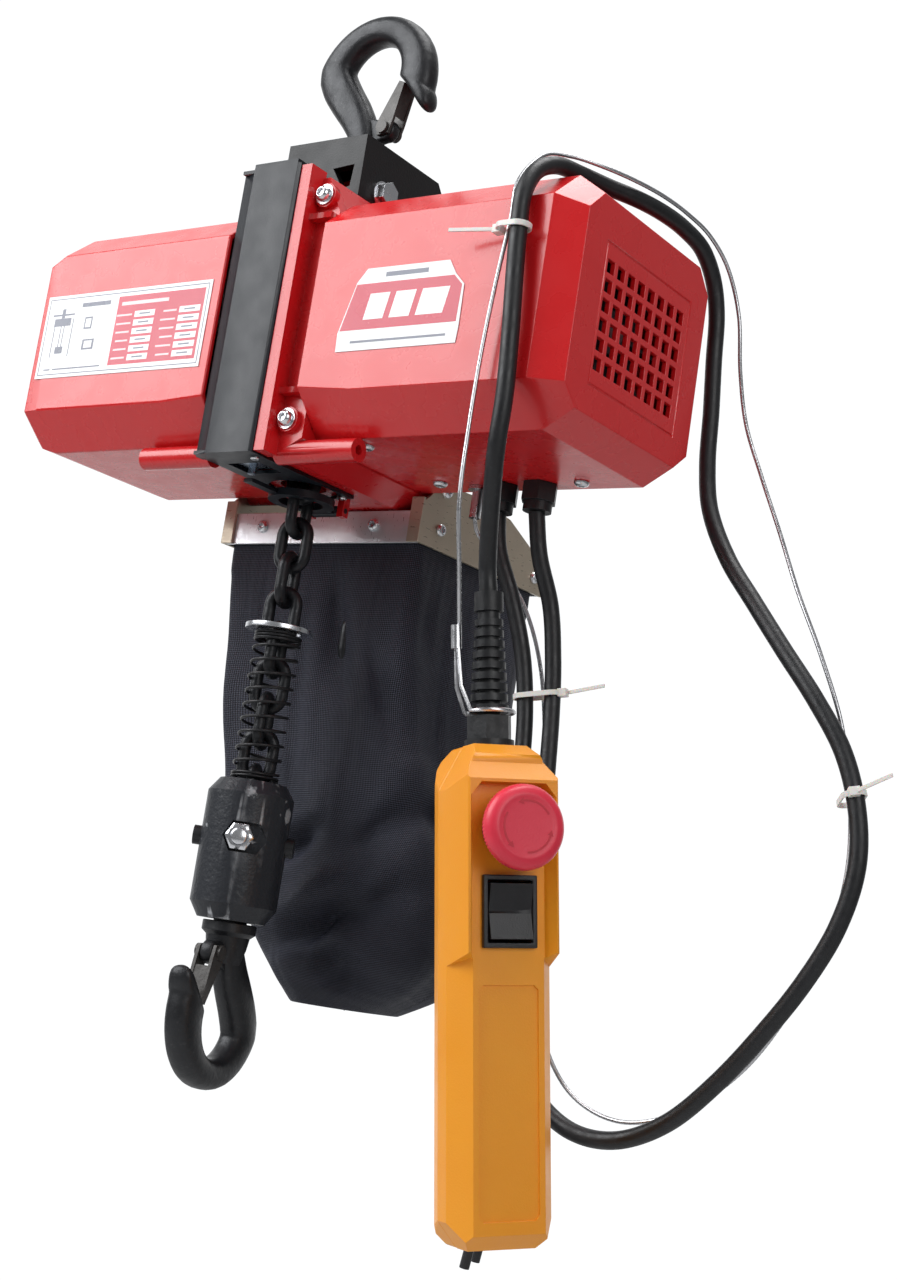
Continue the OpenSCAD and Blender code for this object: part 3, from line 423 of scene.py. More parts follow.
def powder_coat(name, color, rough, grain=900.0, depth=0.00012, worn=None):
    """Dull baked paint with a fine grain; worn is the bare metal that shows at rubbed edges."""
    f = Finish(name, color, rough)
    f.tone(30.0, 0.4, tuple(min(1.0, c * 1.3 + 0.0006) for c in color))
    f.rough_noise(90.0, 0.08)
    f.set(Specular_IOR_Level=0.32)
    if worn:
        f.edge_wear(worn, low=0.53, high=0.60, grain=140.0, metal=0.8)
        f.specks(75.0, 6.0, 0.66, 0.70, 0.7, worn)
    f.bumps(f.noise(grain, 2.0), 1.0, depth)
    return f.done()


def moulded(name, color, rough, variation, grain=1500.0, depth=0.00008, subsurface=0.0):
    """Injection-moulded plastic with a fine spark-eroded texture."""
    f = Finish(name, color, rough)
    f.tone(14.0, 0.5, variation)
    f.rough_noise(60.0, 0.10)
    f.bumps(f.noise(grain, 2.0), 1.0, depth)
    if subsurface:
        f.set(Subsurface_Weight=subsurface, Subsurface_Scale=0.002)
    return f.done()


def rubber(name, color, rough):
    """Cable rubber with pale dusty specks."""
    f = Finish(name, color, rough)
    f.tone(60.0, 0.5, tuple(c * 1.7 for c in color))
    f.rough_noise(200.0, 0.18)
    f.specks(420.0, 5.0, 0.62, 0.76, 0.16, (0.09, 0.09, 0.10))
    f.bumps(f.noise(500.0, 3.0), 1.0, 0.00010)
    return f.done()


WEAVE_PITCH = 2.1 * MM


def weave_fabric(name):
    """Coated nylon: a coarse diagonal basket weave from the piece's own UVs (in metres), with a painted
    highlight on the raised threads and painted shade in the gaps between them.
    """
    f = Finish(name, (0.0025, 0.0028, 0.0048), 0.60, coords="UV")
    split = f.add("SeparateXYZ", Vector=f.coords)
    u, v = split.outputs[0], split.outputs[1]
    pitch = FULL_TURN / WEAVE_PITCH
    one = f.math("SINE", f.math("MULTIPLY", f.math("ADD", u, v), pitch), 0)
    two = f.math("SINE", f.math("MULTIPLY", f.math("SUBTRACT", u, v), pitch), 0)
    cells = f.math("MULTIPLY", one, two)
    yarn_crest_highlight = f.ramp(cells, -0.35, 0.55)
    # Painted highlight: the raised threads are painted far lighter than the gaps, which stand for painted
    # shade; the weave pattern itself is real
    f.blend(yarn_crest_highlight, (0.064, 0.068, 0.098))
    f.tone(16.0, 0.30, (0.006, 0.007, 0.011))
    f.rough_noise(50.0, 0.12)
    f.rough_mask(yarn_crest_highlight, -0.12)
    f.bumps(cells, 0.5, 0.00028)
    f.set(Specular_IOR_Level=0.22)
    return f.done()


FINISHES = [
    (forged, "forged_steel", (0.020, 0.021, 0.024), (0.12, 0.118, 0.118)),
    (plated, "zinc_steel", (0.74, 0.75, 0.78), 0.24),
    (forged, "latch_steel", (0.060, 0.056, 0.053), (0.24, 0.22, 0.20)),
    (powder_coat, "bracket_black", (0.006, 0.006, 0.007), 0.42),
    (enamel, "frame_red", (0.60, 0.009, 0.012), (0.46, 0.005, 0.007)),
    (enamel, "cover_red", (0.65, 0.010, 0.013), (0.55, 0.006, 0.008)),
    (powder_coat, "strip_black", (0.006, 0.008, 0.012), 0.40, 1200.0, 0.00005),
    (plated, "switch_zinc", (0.50, 0.58, 0.68), 0.25),
    (plated, "bag_plate", (0.52, 0.45, 0.35), 0.34, 0.15, (1, 1, 6), 0.62),
    (weave_fabric, "bag_fabric"),
    (forged, "chain_steel", (0.014, 0.015, 0.018), (0.15, 0.155, 0.17)),
    (plated, "gear_steel", (0.52, 0.53, 0.55), 0.30),
    (plated, "bearing_steel", (0.80, 0.80, 0.82), 0.12, 0.1),
    (plated, "die_cast", (0.62, 0.63, 0.64), 0.48, 0.3),
    (plated, "lamination", (0.34, 0.34, 0.36), 0.45, 0.3, (60, 1, 1)),
    (plated, "copper", (0.62, 0.26, 0.10), 0.34, 0.5, (40, 1, 1)),
    (plated, "rotor_steel", (0.44, 0.44, 0.46), 0.34),
    (moulded, "friction", (0.20, 0.15, 0.11), 0.80, (0.10, 0.08, 0.06), 700.0, 0.0003),
    (moulded, "fan_plastic", (0.035, 0.035, 0.04), 0.5, (0.06, 0.06, 0.065)),
    (moulded, "capacitor_case", (0.76, 0.76, 0.73), 0.35, (0.66, 0.66, 0.62)),
    (moulded, "board_green", (0.02, 0.16, 0.06), 0.40, (0.01, 0.10, 0.04)),
    (moulded, "relay_black", (0.035, 0.035, 0.04), 0.45, (0.06, 0.06, 0.06)),
    (forged, "spring_black", (0.016, 0.016, 0.018), (0.12, 0.12, 0.13)),
    (powder_coat, "block_black", (0.020, 0.022, 0.027), 0.38, 420.0, 0.00030,
     (0.40, 0.41, 0.43)),
    (moulded, "pendant_orange", (0.90, 0.34, 0.014), 0.40, (0.84, 0.28, 0.010),
     1300.0, 0.00009, 0.06),
    (moulded, "switch_black", (0.014, 0.014, 0.016), 0.32, (0.03, 0.03, 0.033)),
    (moulded, "estop_dark_red", (0.20, 0.012, 0.014), 0.45, (0.12, 0.008, 0.01)),
    (moulded, "estop_red", (0.76, 0.032, 0.068), 0.36, (0.68, 0.026, 0.055), 1000.0,
     0.00006, 0.05),
    (rubber, "rubber_black", (0.006, 0.0065, 0.008), 0.44),
    (plated, "rope_steel", (0.60, 0.60, 0.62), 0.30, 0.4),
    (moulded, "plug_black", (0.018, 0.018, 0.020), 0.42, (0.03, 0.03, 0.034)),
    (moulded, "tie_natural", (0.78, 0.77, 0.73), 0.38, (0.70, 0.69, 0.65), 900.0,
     0.00005, 0.3),
    (plated, "cross_plate", (0.78, 0.80, 0.83), 0.34, 0.12, (6, 1, 1), 0.7),
    (moulded, "label_white", (0.86, 0.85, 0.86), 0.22, (0.80, 0.79, 0.80), 900.0, 0.00003),
]
MAT = {name: maker(name, *values) for maker, name, *values in FINISHES}
LABEL_RED = moulded("label_red", (0.56, 0.014, 0.050), 0.24, (0.48, 0.01, 0.04), 900.0, 0.00003)
LABEL_GREY = moulded("label_grey", (0.15, 0.16, 0.21), 0.26, (0.12, 0.13, 0.17), 900.0, 0.00003)
LABEL_PALE = moulded("label_pale", (0.80, 0.62, 0.64), 0.24, (0.76, 0.58, 0.60), 900.0, 0.00003)

for obj in (control_cable, power_cord, wire_rope):
    obj.data.materials.append(MAT[obj["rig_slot"]])

# Every CAD node takes its slot's finish; hidden ones too, so that nothing is left plain
for node, obj in frame["nodes"].items():
    obj.data.materials.clear()
    obj.data.materials.append(MAT[SLOT_OF[node]])


# ---------- rounded copies of the CAD shapes ----------

LONG_THEN_SHORT = [edge_step(1.6, 3, 12), edge_step(0.35, 2, 0.5, 12)]
STRIP_EDGES = [edge_step(1.0, 3, 60), edge_step(0.5, 2, 1, 60)]
SHEET_EDGE = [edge_step(0.3, 2, 0.4)]
FINE_EDGE = [edge_step(0.4, 2, 0.5)]

for node in ("left_cover", "right_cover"):
    refined(node, LONG_THEN_SHORT, MAT["cover_red"])
refined("main_frame", [edge_step(1.3, 3, 5)], MAT["frame_red"])
refined("front_strip", STRIP_EDGES, MAT["strip_black"])
refined("suspension_bracket", [edge_step(1.5, 3, 5)], MAT["bracket_black"])
refined("bag_cross_plates", SHEET_EDGE, MAT["cross_plate"])
refined("bag_side_plates", SHEET_EDGE, MAT["bag_plate"])
for node in ("top_latch", "lower_latch", "limit_plate", "bracket_bolts", "spring_washer",
             "cable_glands"):
    refined(node, FINE_EDGE, MAT[SLOT_OF[node]])
for node in ("block_front_half", "block_rear_half"):
    refined(node, [edge_step(0.7, 2, 0.5)], MAT["block_black"])
for node in ("pendant_front", "pendant_rear"):
    refined(node, [edge_step(1.2, 3, 4)], MAT["pendant_orange"])
for node in ("switch_bezels", "rocker"):
    refined(node, [edge_step(0.6, 3, 2)], MAT["switch_black"])


# ---------- turned and moulded details ----------

KNURL = 0.35


def turned(name, profile, placings, material, body, slot, replaces=(), sides=48, hexagon=(), ribs=()):
    """Copies of a turned profile of (radius, height) in mm. Rings listed in hexagon are
    six-sided, and rings listed in ribs are knurled. Each placing is a matrix."""
    verts, faces = [], []
    for place in placings:
        first = len(verts)
        for ring, (r, z) in enumerate(profile):
            for k in range(sides):
                a = FULL_TURN * k / sides
                q = r
                if ring in hexagon:
                    q = r / math.cos((a + math.pi / 6) % (math.pi / 3) - math.pi / 6)
                if ring in ribs and k % 2:
                    q -= KNURL
                verts.append(place @ Vector((q * math.cos(a) * MM, q * math.sin(a) * MM, z * MM)))
        strips = len(profile) - 1
        faces += strip_faces(first, sides, strips) + end_caps(first, sides, strips)
    mesh = soften(new_mesh(name, verts, faces), 38)
    mesh.materials.append(material)
    return add_object(name, mesh, body, slot, replaces)


def facing(position, direction):
    """Matrix that puts a part's own +Z along the direction, at a position in mm."""
    turn = Vector(direction).to_track_quat("Z", "Y").to_matrix().to_4x4()
    return Matrix.Translation(Vector(position) * MM) @ turn


def head_profile(radius, height, socket, shank, shank_r):
    """A button head with a hexagon socket, and its shank below."""
    deep = height - 1.5
    return [(shank_r, -shank), (shank_r, 0), (radius - 0.2, 0), (radius, 0.25),
            (radius * 0.97, height * 0.45), (radius * 0.84, height * 0.78),
            (radius * 0.66, height * 0.95), (socket + 0.5, height), (socket + 0.2, height),
            (socket, height - 0.2), (socket, deep), (socket * 0.5, deep - 0.3)]


SOCKET_RINGS = (9, 10)
WASHER = [(2.2, 0.02), (5.45, 0.02), (5.6, 0.2), (5.6, 0.8), (5.45, 0.98), (2.2, 0.98)]

DOWN, FRONT, BACK = (0, 0, -1), (0, -1, 0), (0, 1, 0)
LEFT, RIGHT = (-1, 0, 0), (1, 0, 0)

# Screw seats lie this far off the plate's face, mm
SEAT_GAP = 0.1


def steel_set(name, profile, placings, replaces=(), sides=36, hexagon=()):
    """Zinc-plated screws or washers on the hoist."""
    turned(name, profile, placings, MAT["zinc_steel"], "hoist", "zinc_steel", replaces, sides, hexagon)


bag_lo, bag_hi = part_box("bag_side_plates")
plate_left, plate_right = bag_lo[0] / MM - SEAT_GAP, bag_hi[0] / MM + SEAT_GAP
cross_lo, cross_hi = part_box("bag_cross_plates")
plate_front, plate_back = cross_lo[1] / MM - SEAT_GAP, cross_hi[1] / MM + SEAT_GAP
SIDE_SCREWS = [(60, -262), (104, -243), (105, -264), (155, -264)]
bag_heads = [facing((x, y, -263), d) for x in (-67, 13)
             for y, d in ((plate_front, FRONT), (plate_back, BACK))]
bag_heads += [facing((x, y, z), d) for y, z in SIDE_SCREWS
              for x, d in ((plate_left, LEFT), (plate_right, RIGHT))]
rod_heads = [facing((x, 60, -240), d) for x, d in ((plate_left, LEFT), (plate_right, RIGHT))]
steel_set("bag_screw_heads", head_profile(3.6, 2.4, 1.5, 1.9, 1.9), bag_heads, ("bag_screws",),
          hexagon=SOCKET_RINGS)
steel_set("rod_screw_heads", head_profile(4.2, 3.0, 1.8, 5.8, 1.9), rod_heads, hexagon=SOCKET_RINGS)

COVER_SCREWS = [(66, -36), (146, -36), (66, 28), (150, 34)]
case_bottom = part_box("left_cover")[0][2] / MM - SEAT_GAP
case_heads = [facing((x, y, case_bottom), DOWN) for x, y in COVER_SCREWS]
steel_set("cover_screw_heads", head_profile(4.0, 2.4, 1.6, 7.0, 1.7), case_heads, ("case_screws",),
          hexagon=SOCKET_RINGS)
LIP_X, LIP_Y, LIP_HEIGHTS, WASHER_T = 31, -59.1, (-117, -237), 0.99
steel_set("front_screw_heads", head_profile(4.2, 3.4, 2.0, 11.0, 1.9),
          [facing((LIP_X, LIP_Y - WASHER_T, z), FRONT) for z in LIP_HEIGHTS], hexagon=SOCKET_RINGS)
steel_set("front_screw_washers", WASHER, [facing((LIP_X, LIP_Y, z), FRONT) for z in LIP_HEIGHTS],
          sides=40)
steel_set("strip_screw_heads", [(1.2, 0.02), (2.4, 0.02), (2.4, 0.9), (2.0, 1.4), (0.9, 1.4), (0.8, 0.8)],
          [facing((13, y, -256.1), DOWN) for y in (-58, 14)], sides=30)

# Placement of the pendant, as in the CAD
PENDANT = (Matrix.Translation(Vector((167, -36, -393)) * MM)
           @ Euler((math.radians(5), math.radians(-7), 0)).to_matrix().to_4x4()
           @ Matrix.Rotation(math.radians(57), 4, "Z"))


def on_pendant(position, direction):
    return PENDANT @ facing(position, direction)


PENDANT_SCREW = [(1.6, 0.02), (3.1, 0.02), (3.2, 0.3), (3.0, 1.4), (1.6, 1.8), (1.4, 1.8), (1.4, 0.7)]
steel_set("pendant_screw_heads", PENDANT_SCREW,
          [on_pendant((x, 17.1, z), BACK) for x in (-14, 14) for z in (-24, -196)],
          sides=30, hexagon=(5, 6))


# Chain bolt through the block: round head, shank, chamfered nut and the thread's end
FALL_X, BOLT_Z, BLOCK_TURN = -3, -444, 35
across_block = (Matrix.Translation(Vector((FALL_X, 0, BOLT_Z)) * MM)
                @ Matrix.Rotation(math.radians(BLOCK_TURN - 90), 4, "Z")
                @ Matrix.Rotation(math.radians(90), 4, "Y"))
BLOCK_BOLT = [(5.6, -25), (6.6, -24.2), (6.6, -19.2), (4, -19.2), (4, 17.7), (6.1, 17.7), (6.5, 18.1),
              (6.5, 23.2), (5.7, 24.1), (4.5, 24.1), (4.1, 23.7), (4.0, 25.2), (3.4, 25.6)]
turned("block_bolt_piece", BLOCK_BOLT, [across_block], MAT["zinc_steel"], BODY_OF["block_bolt"],
       SLOT_OF["block_bolt"], ("block_bolt",), 48, (6, 7))


# ---------- forged hooks ----------

def arc_pair(angle):
    """Outer and inner point of the bowl at an angle, in the hook's own plane."""
    c, n = math.cos(math.radians(angle)), math.sin(math.radians(angle))
    return (41 * c, -25 + 41 * n), (19 * c, -19 + 19 * n)


# Outer and inner outline points along the hook, from the shank round to the tip, and the
# half thickness there, mm, as in the CAD
SHANK_R, SHANK_THICK = 8.3, 8.2
HOOK_STATIONS = [((-SHANK_R, -72), (SHANK_R, -72), SHANK_THICK),
                 ((-SHANK_R, -64), (SHANK_R, -64), SHANK_THICK),
                 ((-9.6, -56.5), (7.9, -58), 8.0), ((-16.5, -48), (5.5, -49), 8.0),
                 ((-25, -39), (2, -41), 8.0), ((-33, -29.5), (-3.5, -32), 8.0),
                 ((-38.5, -19.5), (-10.5, -23), 8.0)]
HOOK_STATIONS += [(*arc_pair(a), 8.0) for a in range(160, -11, -10)]
HOOK_STATIONS += [((41.8, -34.5), (22.6, -26.0), 7.9), ((42.6, -37.6), (26.6, -30.4), 7.6),
                  ((42.8, -40.2), (30.4, -35.0), 7.1), ((42.3, -42.4), (33.4, -38.8), 6.3),
                  ((41.4, -43.8), (35.4, -41.4), 5.0), ((40.2, -44.5), (36.8, -43.1), 3.2),
                  ((39.2, -44.7), (38.0, -44.2), 1.2)]


def forged_hook(node, place, shank):
    """Lofts a rounded section along the stations; place puts the hook's plane in the model."""
    sides, between, squareness = 28, 3, (0.74, 0.80)
    stations = []
    for a, b in zip(HOOK_STATIONS, HOOK_STATIONS[1:]):
        for k in range(between):
            t = k / between
            stations.append([np.array(a[i]) * (1 - t) + np.array(b[i]) * t for i in range(3)])
    stations.append([np.array(v) for v in HOOK_STATIONS[-1]])
    stations.insert(0, [np.array((-SHANK_R, -shank)), np.array((SHANK_R, -shank)),
                        np.array(SHANK_THICK)])
    verts = []
    for outer, inner, thick in stations:
        centre = (outer + inner) / 2
        reach = (outer - inner) / 2
        for k in range(sides):
            a = FULL_TURN * k / sides
            c, n = math.cos(a), math.sin(a)
            c = math.copysign(abs(c) ** squareness[0], c)
            n = math.copysign(abs(n) ** squareness[1], n)
            x, z = centre + reach * c
            verts.append(place @ Vector((x * MM, float(thick) * n * MM, z * MM)))
    strips = len(stations) - 1
    faces = strip_faces(0, sides, strips) + end_caps(0, sides, strips)
    mesh = new_mesh(node + "_mesh", verts, faces)
    bm = bmesh.new()
    bm.from_mesh(mesh)
    bmesh.ops.recalc_face_normals(bm, faces=bm.faces)
    for _ in range(2):
        bmesh.ops.smooth_vert(bm, verts=bm.verts[:], factor=0.5, use_axis_x=True,
                              use_axis_y=True, use_axis_z=True)
    bm.to_mesh(mesh)
    bm.free()
    mesh.materials.append(MAT["forged_steel"])
    soften(mesh, 60)
    return add_object(node + "_piece", mesh, BODY_OF[node], "forged_steel", (node,))


LUG_T = 6.9 * MM


def latch_lug(node, place):
    """Rounded lug on the hook that carries the latch pin."""
    outline = [(2, -44), (9, -46.5), (15, -46.8), (19, -48.5), (20.6, -52), (20, -56),
               (17.4, -58.4), (13, -59), (6, -60.5), (0, -58)]
    bm = bmesh.new()
    ring = [bm.verts.new(place @ Vector((x * MM, -LUG_T / 2, z * MM))) for x, z in outline]
    face = bm.faces.new(ring)
    grown = bmesh.ops.extrude_face_region(bm, geom=[face])
    out = place.to_3x3() @ Vector((0, LUG_T, 0))
    bmesh.ops.translate(bm, vec=out, verts=[v for v in grown["geom"]
                                            if isinstance(v, bmesh.types.BMVert)])
    bmesh.ops.recalc_face_normals(bm, faces=bm.faces)
    round_edges(bm, 1.6 * MM, 3, 60)
    mesh = soften(mesh_from(bm, node, MAT["forged_steel"]), 45)
    return add_object(node, mesh, BODY_OF[node.replace("_lug", "")], "forged_steel")


LOWER = (Matrix.Translation(Vector((FALL_X, 0, -556)) * MM)
         @ Matrix.Rotation(math.radians(-78), 4, "Z") @ Matrix.Rotation(math.radians(180), 4, "X"))
for node, place, shank in (("top_hook", Matrix.Identity(4), 88.5), ("lower_hook", LOWER, 95)):
    forged_hook(node, place, shank)
    latch_lug(node + "_lug", place)
turned("hook_collar", [(8.3, -508), (10.5, -500), (11.4, -494), (13.6, -492.2), (14, -491.8),
                       (14, -487.4), (13.6, -487), (8.3, -487)],
       [Matrix.Translation(Vector((FALL_X, 0, 0)) * MM)], MAT["forged_steel"], "lower_hook_body",
       "forged_steel")


# ---------- emergency stop ----------

STOP_PLACE = on_pendant((0, -32.6, -39), FRONT)


def stop_head():
    """Mushroom head with a knurled rim and a shallow dished top."""
    r = 19
    profile = [(5.1, 5.4), (5.1, 0.1), (15, 0), (r - 0.8, 2.4), (r - 0.1, 3.2), (r, 3.8), (r, 6.2),
               (r - 0.3, 7.0), (r - 1.2, 8.4), (r - 2.5, 9.5), (r - 4.2, 10.1), (14, 10.3),
               (13.2, 10.15), (11, 10.05), (4, 10.0), (0.6, 10.0)]
    turned("estop_knob_piece", profile, [STOP_PLACE], MAT["estop_red"],
           "estop_knob", "estop_red", ("estop_head",), 144, (), (4, 5, 6))


def stop_arrows():
    """Three curved arrows round the head, in low relief."""
    verts, faces = [], []
    arrows, steps, sweep, point = 3, 14, 1.25, 0.22
    low, high = 10.02, 10.22
    for turn in range(arrows):
        start = FULL_TURN * turn / arrows + 0.5
        rails = [(start + sweep * i / steps, 10.9, 11.8) for i in range(steps + 1)]
        rails += [(start + sweep, 9.9, 12.8), (start + sweep + point, 11.3, 11.4)]
        first = len(verts)
        for a, r_in, r_out in rails:
            for r, z in ((r_in, low), (r_in, high), (r_out, high), (r_out, low)):
                verts.append(STOP_PLACE @ (Vector((r * math.cos(a), r * math.sin(a), z)) * MM))
        faces += strip_faces(first, 4, len(rails) - 1) + end_caps(first, 4, len(rails) - 1)
    mesh = soften(new_mesh("estop_arrows", verts, faces), 30)
    mesh.materials.append(STOP_MARK)
    add_object("estop_arrows", mesh, "estop_knob", "estop_red")


STOP_MARK = moulded("estop_mark", (0.60, 0.018, 0.042), 0.45, (0.42, 0.01, 0.02), 900.0, 0.00004)
stop_head()
stop_arrows()
refined("estop_stem", [edge_step(0.5, 2, 0)], MAT["estop_dark_red"], 40)


# ---------- chains and spring ----------

LINK_D, LINK_W, PITCH, LINK_PLAY = 6.2, 21.1, 19.0, 0.2
CHAIN_TOP = -191.5


def link_path(turn, centre):
    """Closed centreline of one link, long way upright, turned about the vertical."""
    arc = (LINK_W - LINK_D) / 2
    half = (PITCH + LINK_PLAY - 2 * (arc - LINK_D / 2)) / 2
    steps = 14
    loop = [(arc * math.cos(math.pi * i / steps), half + arc * math.sin(math.pi * i / steps))
            for i in range(steps + 1)]
    loop += [(-arc, half - 2 * half * (i + 1) / 6) for i in range(5)]
    loop += [(-x, -z) for x, z in loop[:steps + 1]]
    loop += [(arc, -half + 2 * half * (i + 1) / 6) for i in range(5)]
    c, s = math.cos(turn), math.sin(turn)
    return [Vector((centre[0] + x * c, centre[1] + x * s, centre[2] + z)) * MM for x, z in loop]


def chain_piece(node, links):
    """Welded links: each one's weld is a low bead half way down one side."""
    sides, bead, left_weld, right_weld = 16, 0.055, 17, 37
    verts, faces = [], []
    for turn, centre in links:
        points = link_path(turn, centre)
        n = len(points)
        first = len(verts)
        weld = left_weld if DRAWN.random() < 0.5 else right_weld
        axis = Vector((-math.sin(turn), math.cos(turn), 0))
        for i, p in enumerate(points):
            tangent = (points[(i + 1) % n] - points[i - 1]).normalized()
            out = axis.cross(tangent)
            swell = 1 + bead * math.exp(-((i - weld) / 0.7) ** 2)
            r = LINK_D / 2 * MM * swell
            for k in range(sides):
                a = FULL_TURN * k / sides
                verts.append(p + r * (math.cos(a) * axis + math.sin(a) * out))
        faces += strip_faces(first, sides, n, wrap=True)
    mesh = soften(new_mesh(node + "_mesh", verts, faces), 60)
    mesh.materials.append(MAT["chain_steel"])
    return add_object(node + "_piece", mesh, BODY_OF[node], SLOT_OF[node], (node,))


LAST_LINK, SLACK_LINKS, SLACK_Y = 13, 13, 62
# The load fall twists evenly, so that its last link lines up with the block
chain_piece("load_chain", [(math.radians(90 * (LAST_LINK - k) + BLOCK_TURN * k / LAST_LINK),
                            (FALL_X, 0, CHAIN_TOP - PITCH * k)) for k in range(LAST_LINK + 1)])
chain_piece("slack_chain", [(math.radians(90 * k), (FALL_X, SLACK_Y, CHAIN_TOP - PITCH * k))
                            for k in range(SLACK_LINKS)])


def spring_piece():
    """Open coil spring with closed end coils."""
    lo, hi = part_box("limit_spring")
    wire, radius = 1.6 * MM, 11.9 * MM
    turns, per_turn = 14, 32
    last = turns * per_turn
    points = []
    for i in range(last + 1):
        rise = np.interp(i / last, (0, 0.14, 0.8, 1), (0, 0.042, 0.94, 1))
        a = FULL_TURN * i / per_turn
        points.append(Vector((FALL_X * MM + radius * math.cos(a), radius * math.sin(a),
                              lo.z + wire / 2 + (hi.z - lo.z - wire) * rise)))
    mesh = tube("limit_spring_mesh", points, lambda i, a: wire / 2, 12)
    mesh.materials.append(MAT["spring_black"])
    obj = add_object("limit_spring_piece", mesh, "load_block", SLOT_OF["limit_spring"],
                     ("limit_spring",))
    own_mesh(obj)


spring_piece()


# ---------- label prints ----------

def printed(name, shapes, proud):
    """Thin printed areas on the front of the labels. Each shape is an outline of (x, z) and its
    material; proud(order) says how far one stands out, in mm."""
    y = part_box("labels")[0][1] / MM
    used = list(dict.fromkeys(material for _, material in shapes))
    verts, faces, picks = [], [], []
    for order, (outline, material) in enumerate(shapes):
        a, n = len(verts), len(outline)
        for depth in (proud(order), 0.005):
            verts += [Vector((x, y - depth, z)) * MM for x, z in outline]
        faces.append(tuple(a + k for k in range(n)))
        faces += [(a + k, a + n + k, a + n + (k + 1) % n, a + (k + 1) % n) for k in range(n)]
        picks += [used.index(material)] * (n + 1)
    mesh = new_mesh(name, verts, faces, smooth=False)
    for material in used:
        mesh.materials.append(material)
    for poly, pick in zip(mesh.polygons, picks):
        poly.material_index = pick
    return add_object(name, mesh, "hoist", "label_white")


def printed_boxes(name, boxes):
    """Printed blocks, each (x0, x1, z0, z1, material). Later ones stand a little further out,
    so that none lies in the plane of another."""
    shapes = [([(x0, z0), (x1, z0), (x1, z1), (x0, z1)], material) for x0, x1, z0, z1, material in boxes]
    printed(name, shapes, lambda order: 0.03 + 0.012 * order / len(boxes) + 0.03 * (order > 0))


def rating_plate():
    """Left plate: a small line drawing, and a red table with rows of white fields."""
    red = [(-98, -34, -203.4, -164.2, LABEL_RED)]
    rows, row_step = 6, 4.9
    for row in range(rows):
        z = -173.5 - row_step * row
        for x in (-84, -51):
            red.append((x, x + 15, z - 3.4, z, MAT["label_white"]))
            wide = 9 + 3 * DRAWN.random()
            red.append((x + 3.5, x + 11.5, z - 2.1, z - 1.2, LABEL_GREY))
            red.append((x - 2 - wide, x - 2, z - 2.2, z - 1.2, LABEL_PALE))
    red.append((-95, -60, -169.6, -167.6, LABEL_PALE))
    printed_boxes("rating_table", red)
    drawing = [(-148, -131, -172, -171), (-146, -133, -178, -173.5), (-141, -138.5, -173.4, -168),
               (-140.4, -139.8, -190, -178), (-138, -137.4, -190, -178), (-142, -136, -194, -190),
               (-145.5, -144.9, -196, -178), (-131.5, -130.9, -196, -174),
               (-148, -143, -203.5, -202.7), (-141, -104, -203.5, -202.7), (-122, -116, -181, -174),
               (-121, -117, -180, -175), (-121, -112, -193, -187), (-119.5, -113.5, -192, -188),
               (-126, -104, -168, -165.6), (-152.2, -31.8, -206.2, -205.7),
               (-152.2, -31.8, -162.3, -161.8), (-152.2, -151.7, -205.7, -162.3),
               (-32.3, -31.8, -205.7, -162.3)]
    paper = [(-121, -117, -180, -175), (-119.5, -113.5, -192, -188)]
    drawing = [(*box, MAT["label_white"] if box in paper else LABEL_GREY) for box in drawing]
    printed_boxes("rating_drawing", drawing)


def capacity_plate():
    """Right plate: red field between two white bands, with three slanted white marks."""
    field = [(62.2, -195.8), (133, -195.8), (133.4, -177.2), (128, -172), (68.8, -172)]
    bars = [[(x + 1.8, -190.8), (x + w, -190.8), (x + w + 2.6, -177.5), (x + 4.4, -177.5)]
            for x, w in ((74, 14), (90, 14), (106, 18))]
    printed("capacity_field", [(field, LABEL_RED)], lambda order: 0.06)
    printed("capacity_mark", [(bar, MAT["label_white"]) for bar in bars], lambda order: 0.115)
    printed_boxes("capacity_lines", [(86, 112, -169.2, -166.8, LABEL_GREY),
                                     (70, 128, -202.6, -201.4, LABEL_GREY)])


rating_plate()
capacity_plate()
refined("labels", [edge_step(0.12, 2, 1)], MAT["label_white"])
for node in ("cable_ties", "rope_fittings", "power_plug", "pendant_gland"):
    refined(node, [edge_step(0.25, 2, 0.6)], MAT[SLOT_OF[node]], 40)


# ---------- chain bag ----------

# Levels of the bag as in the CAD: x range, y range, height and corner radius, mm
BAG_LEVELS = [(-93.6, 43.6, 46.4, 162.6, -257, 4), (-93.6, 43.6, 46.4, 162.6, -274, 5),
              (-93, 46, 45, 161, -300, 10), (-88, 55, 44, 157, -360, 16),
              (-78, 68, 46, 153, -420, 22), (-62, 78, 47, 148, -465, 30),
              (-42, 76, 47, 140, -500, 36), (-18, 36, 56, 124, -520, 26)]
BAG_TOP, BAG_LOW = BAG_LEVELS[0][4], BAG_LEVELS[-1][4]
BAG_AROUND, BAG_DOWN = 176, 104
# Depth of the hem below the mouth's zero, its step, and the cloth's inset from its CAD outline, mm
HEM_Z, HEM_STEP, CLOTH_INSET = 289, 0.8, 1.6
# Creases lie this far in front of the bag's middle, and folds stand out at most this far, mm
FRONT_FROM, FOLD_OUT = 20, 5.0
# The settling cloth: where its frame ends, mm, the frames it runs and how far a point may go
CLAMP_Z, SETTLE_FRAMES = -277, 22
BAG_MIDDLE = (-5 * MM, 100 * MM)
MOST_IN, MOST_OUT, MOST_MOVED = 9 * MM, 1.5 * MM, 2.5 * MM
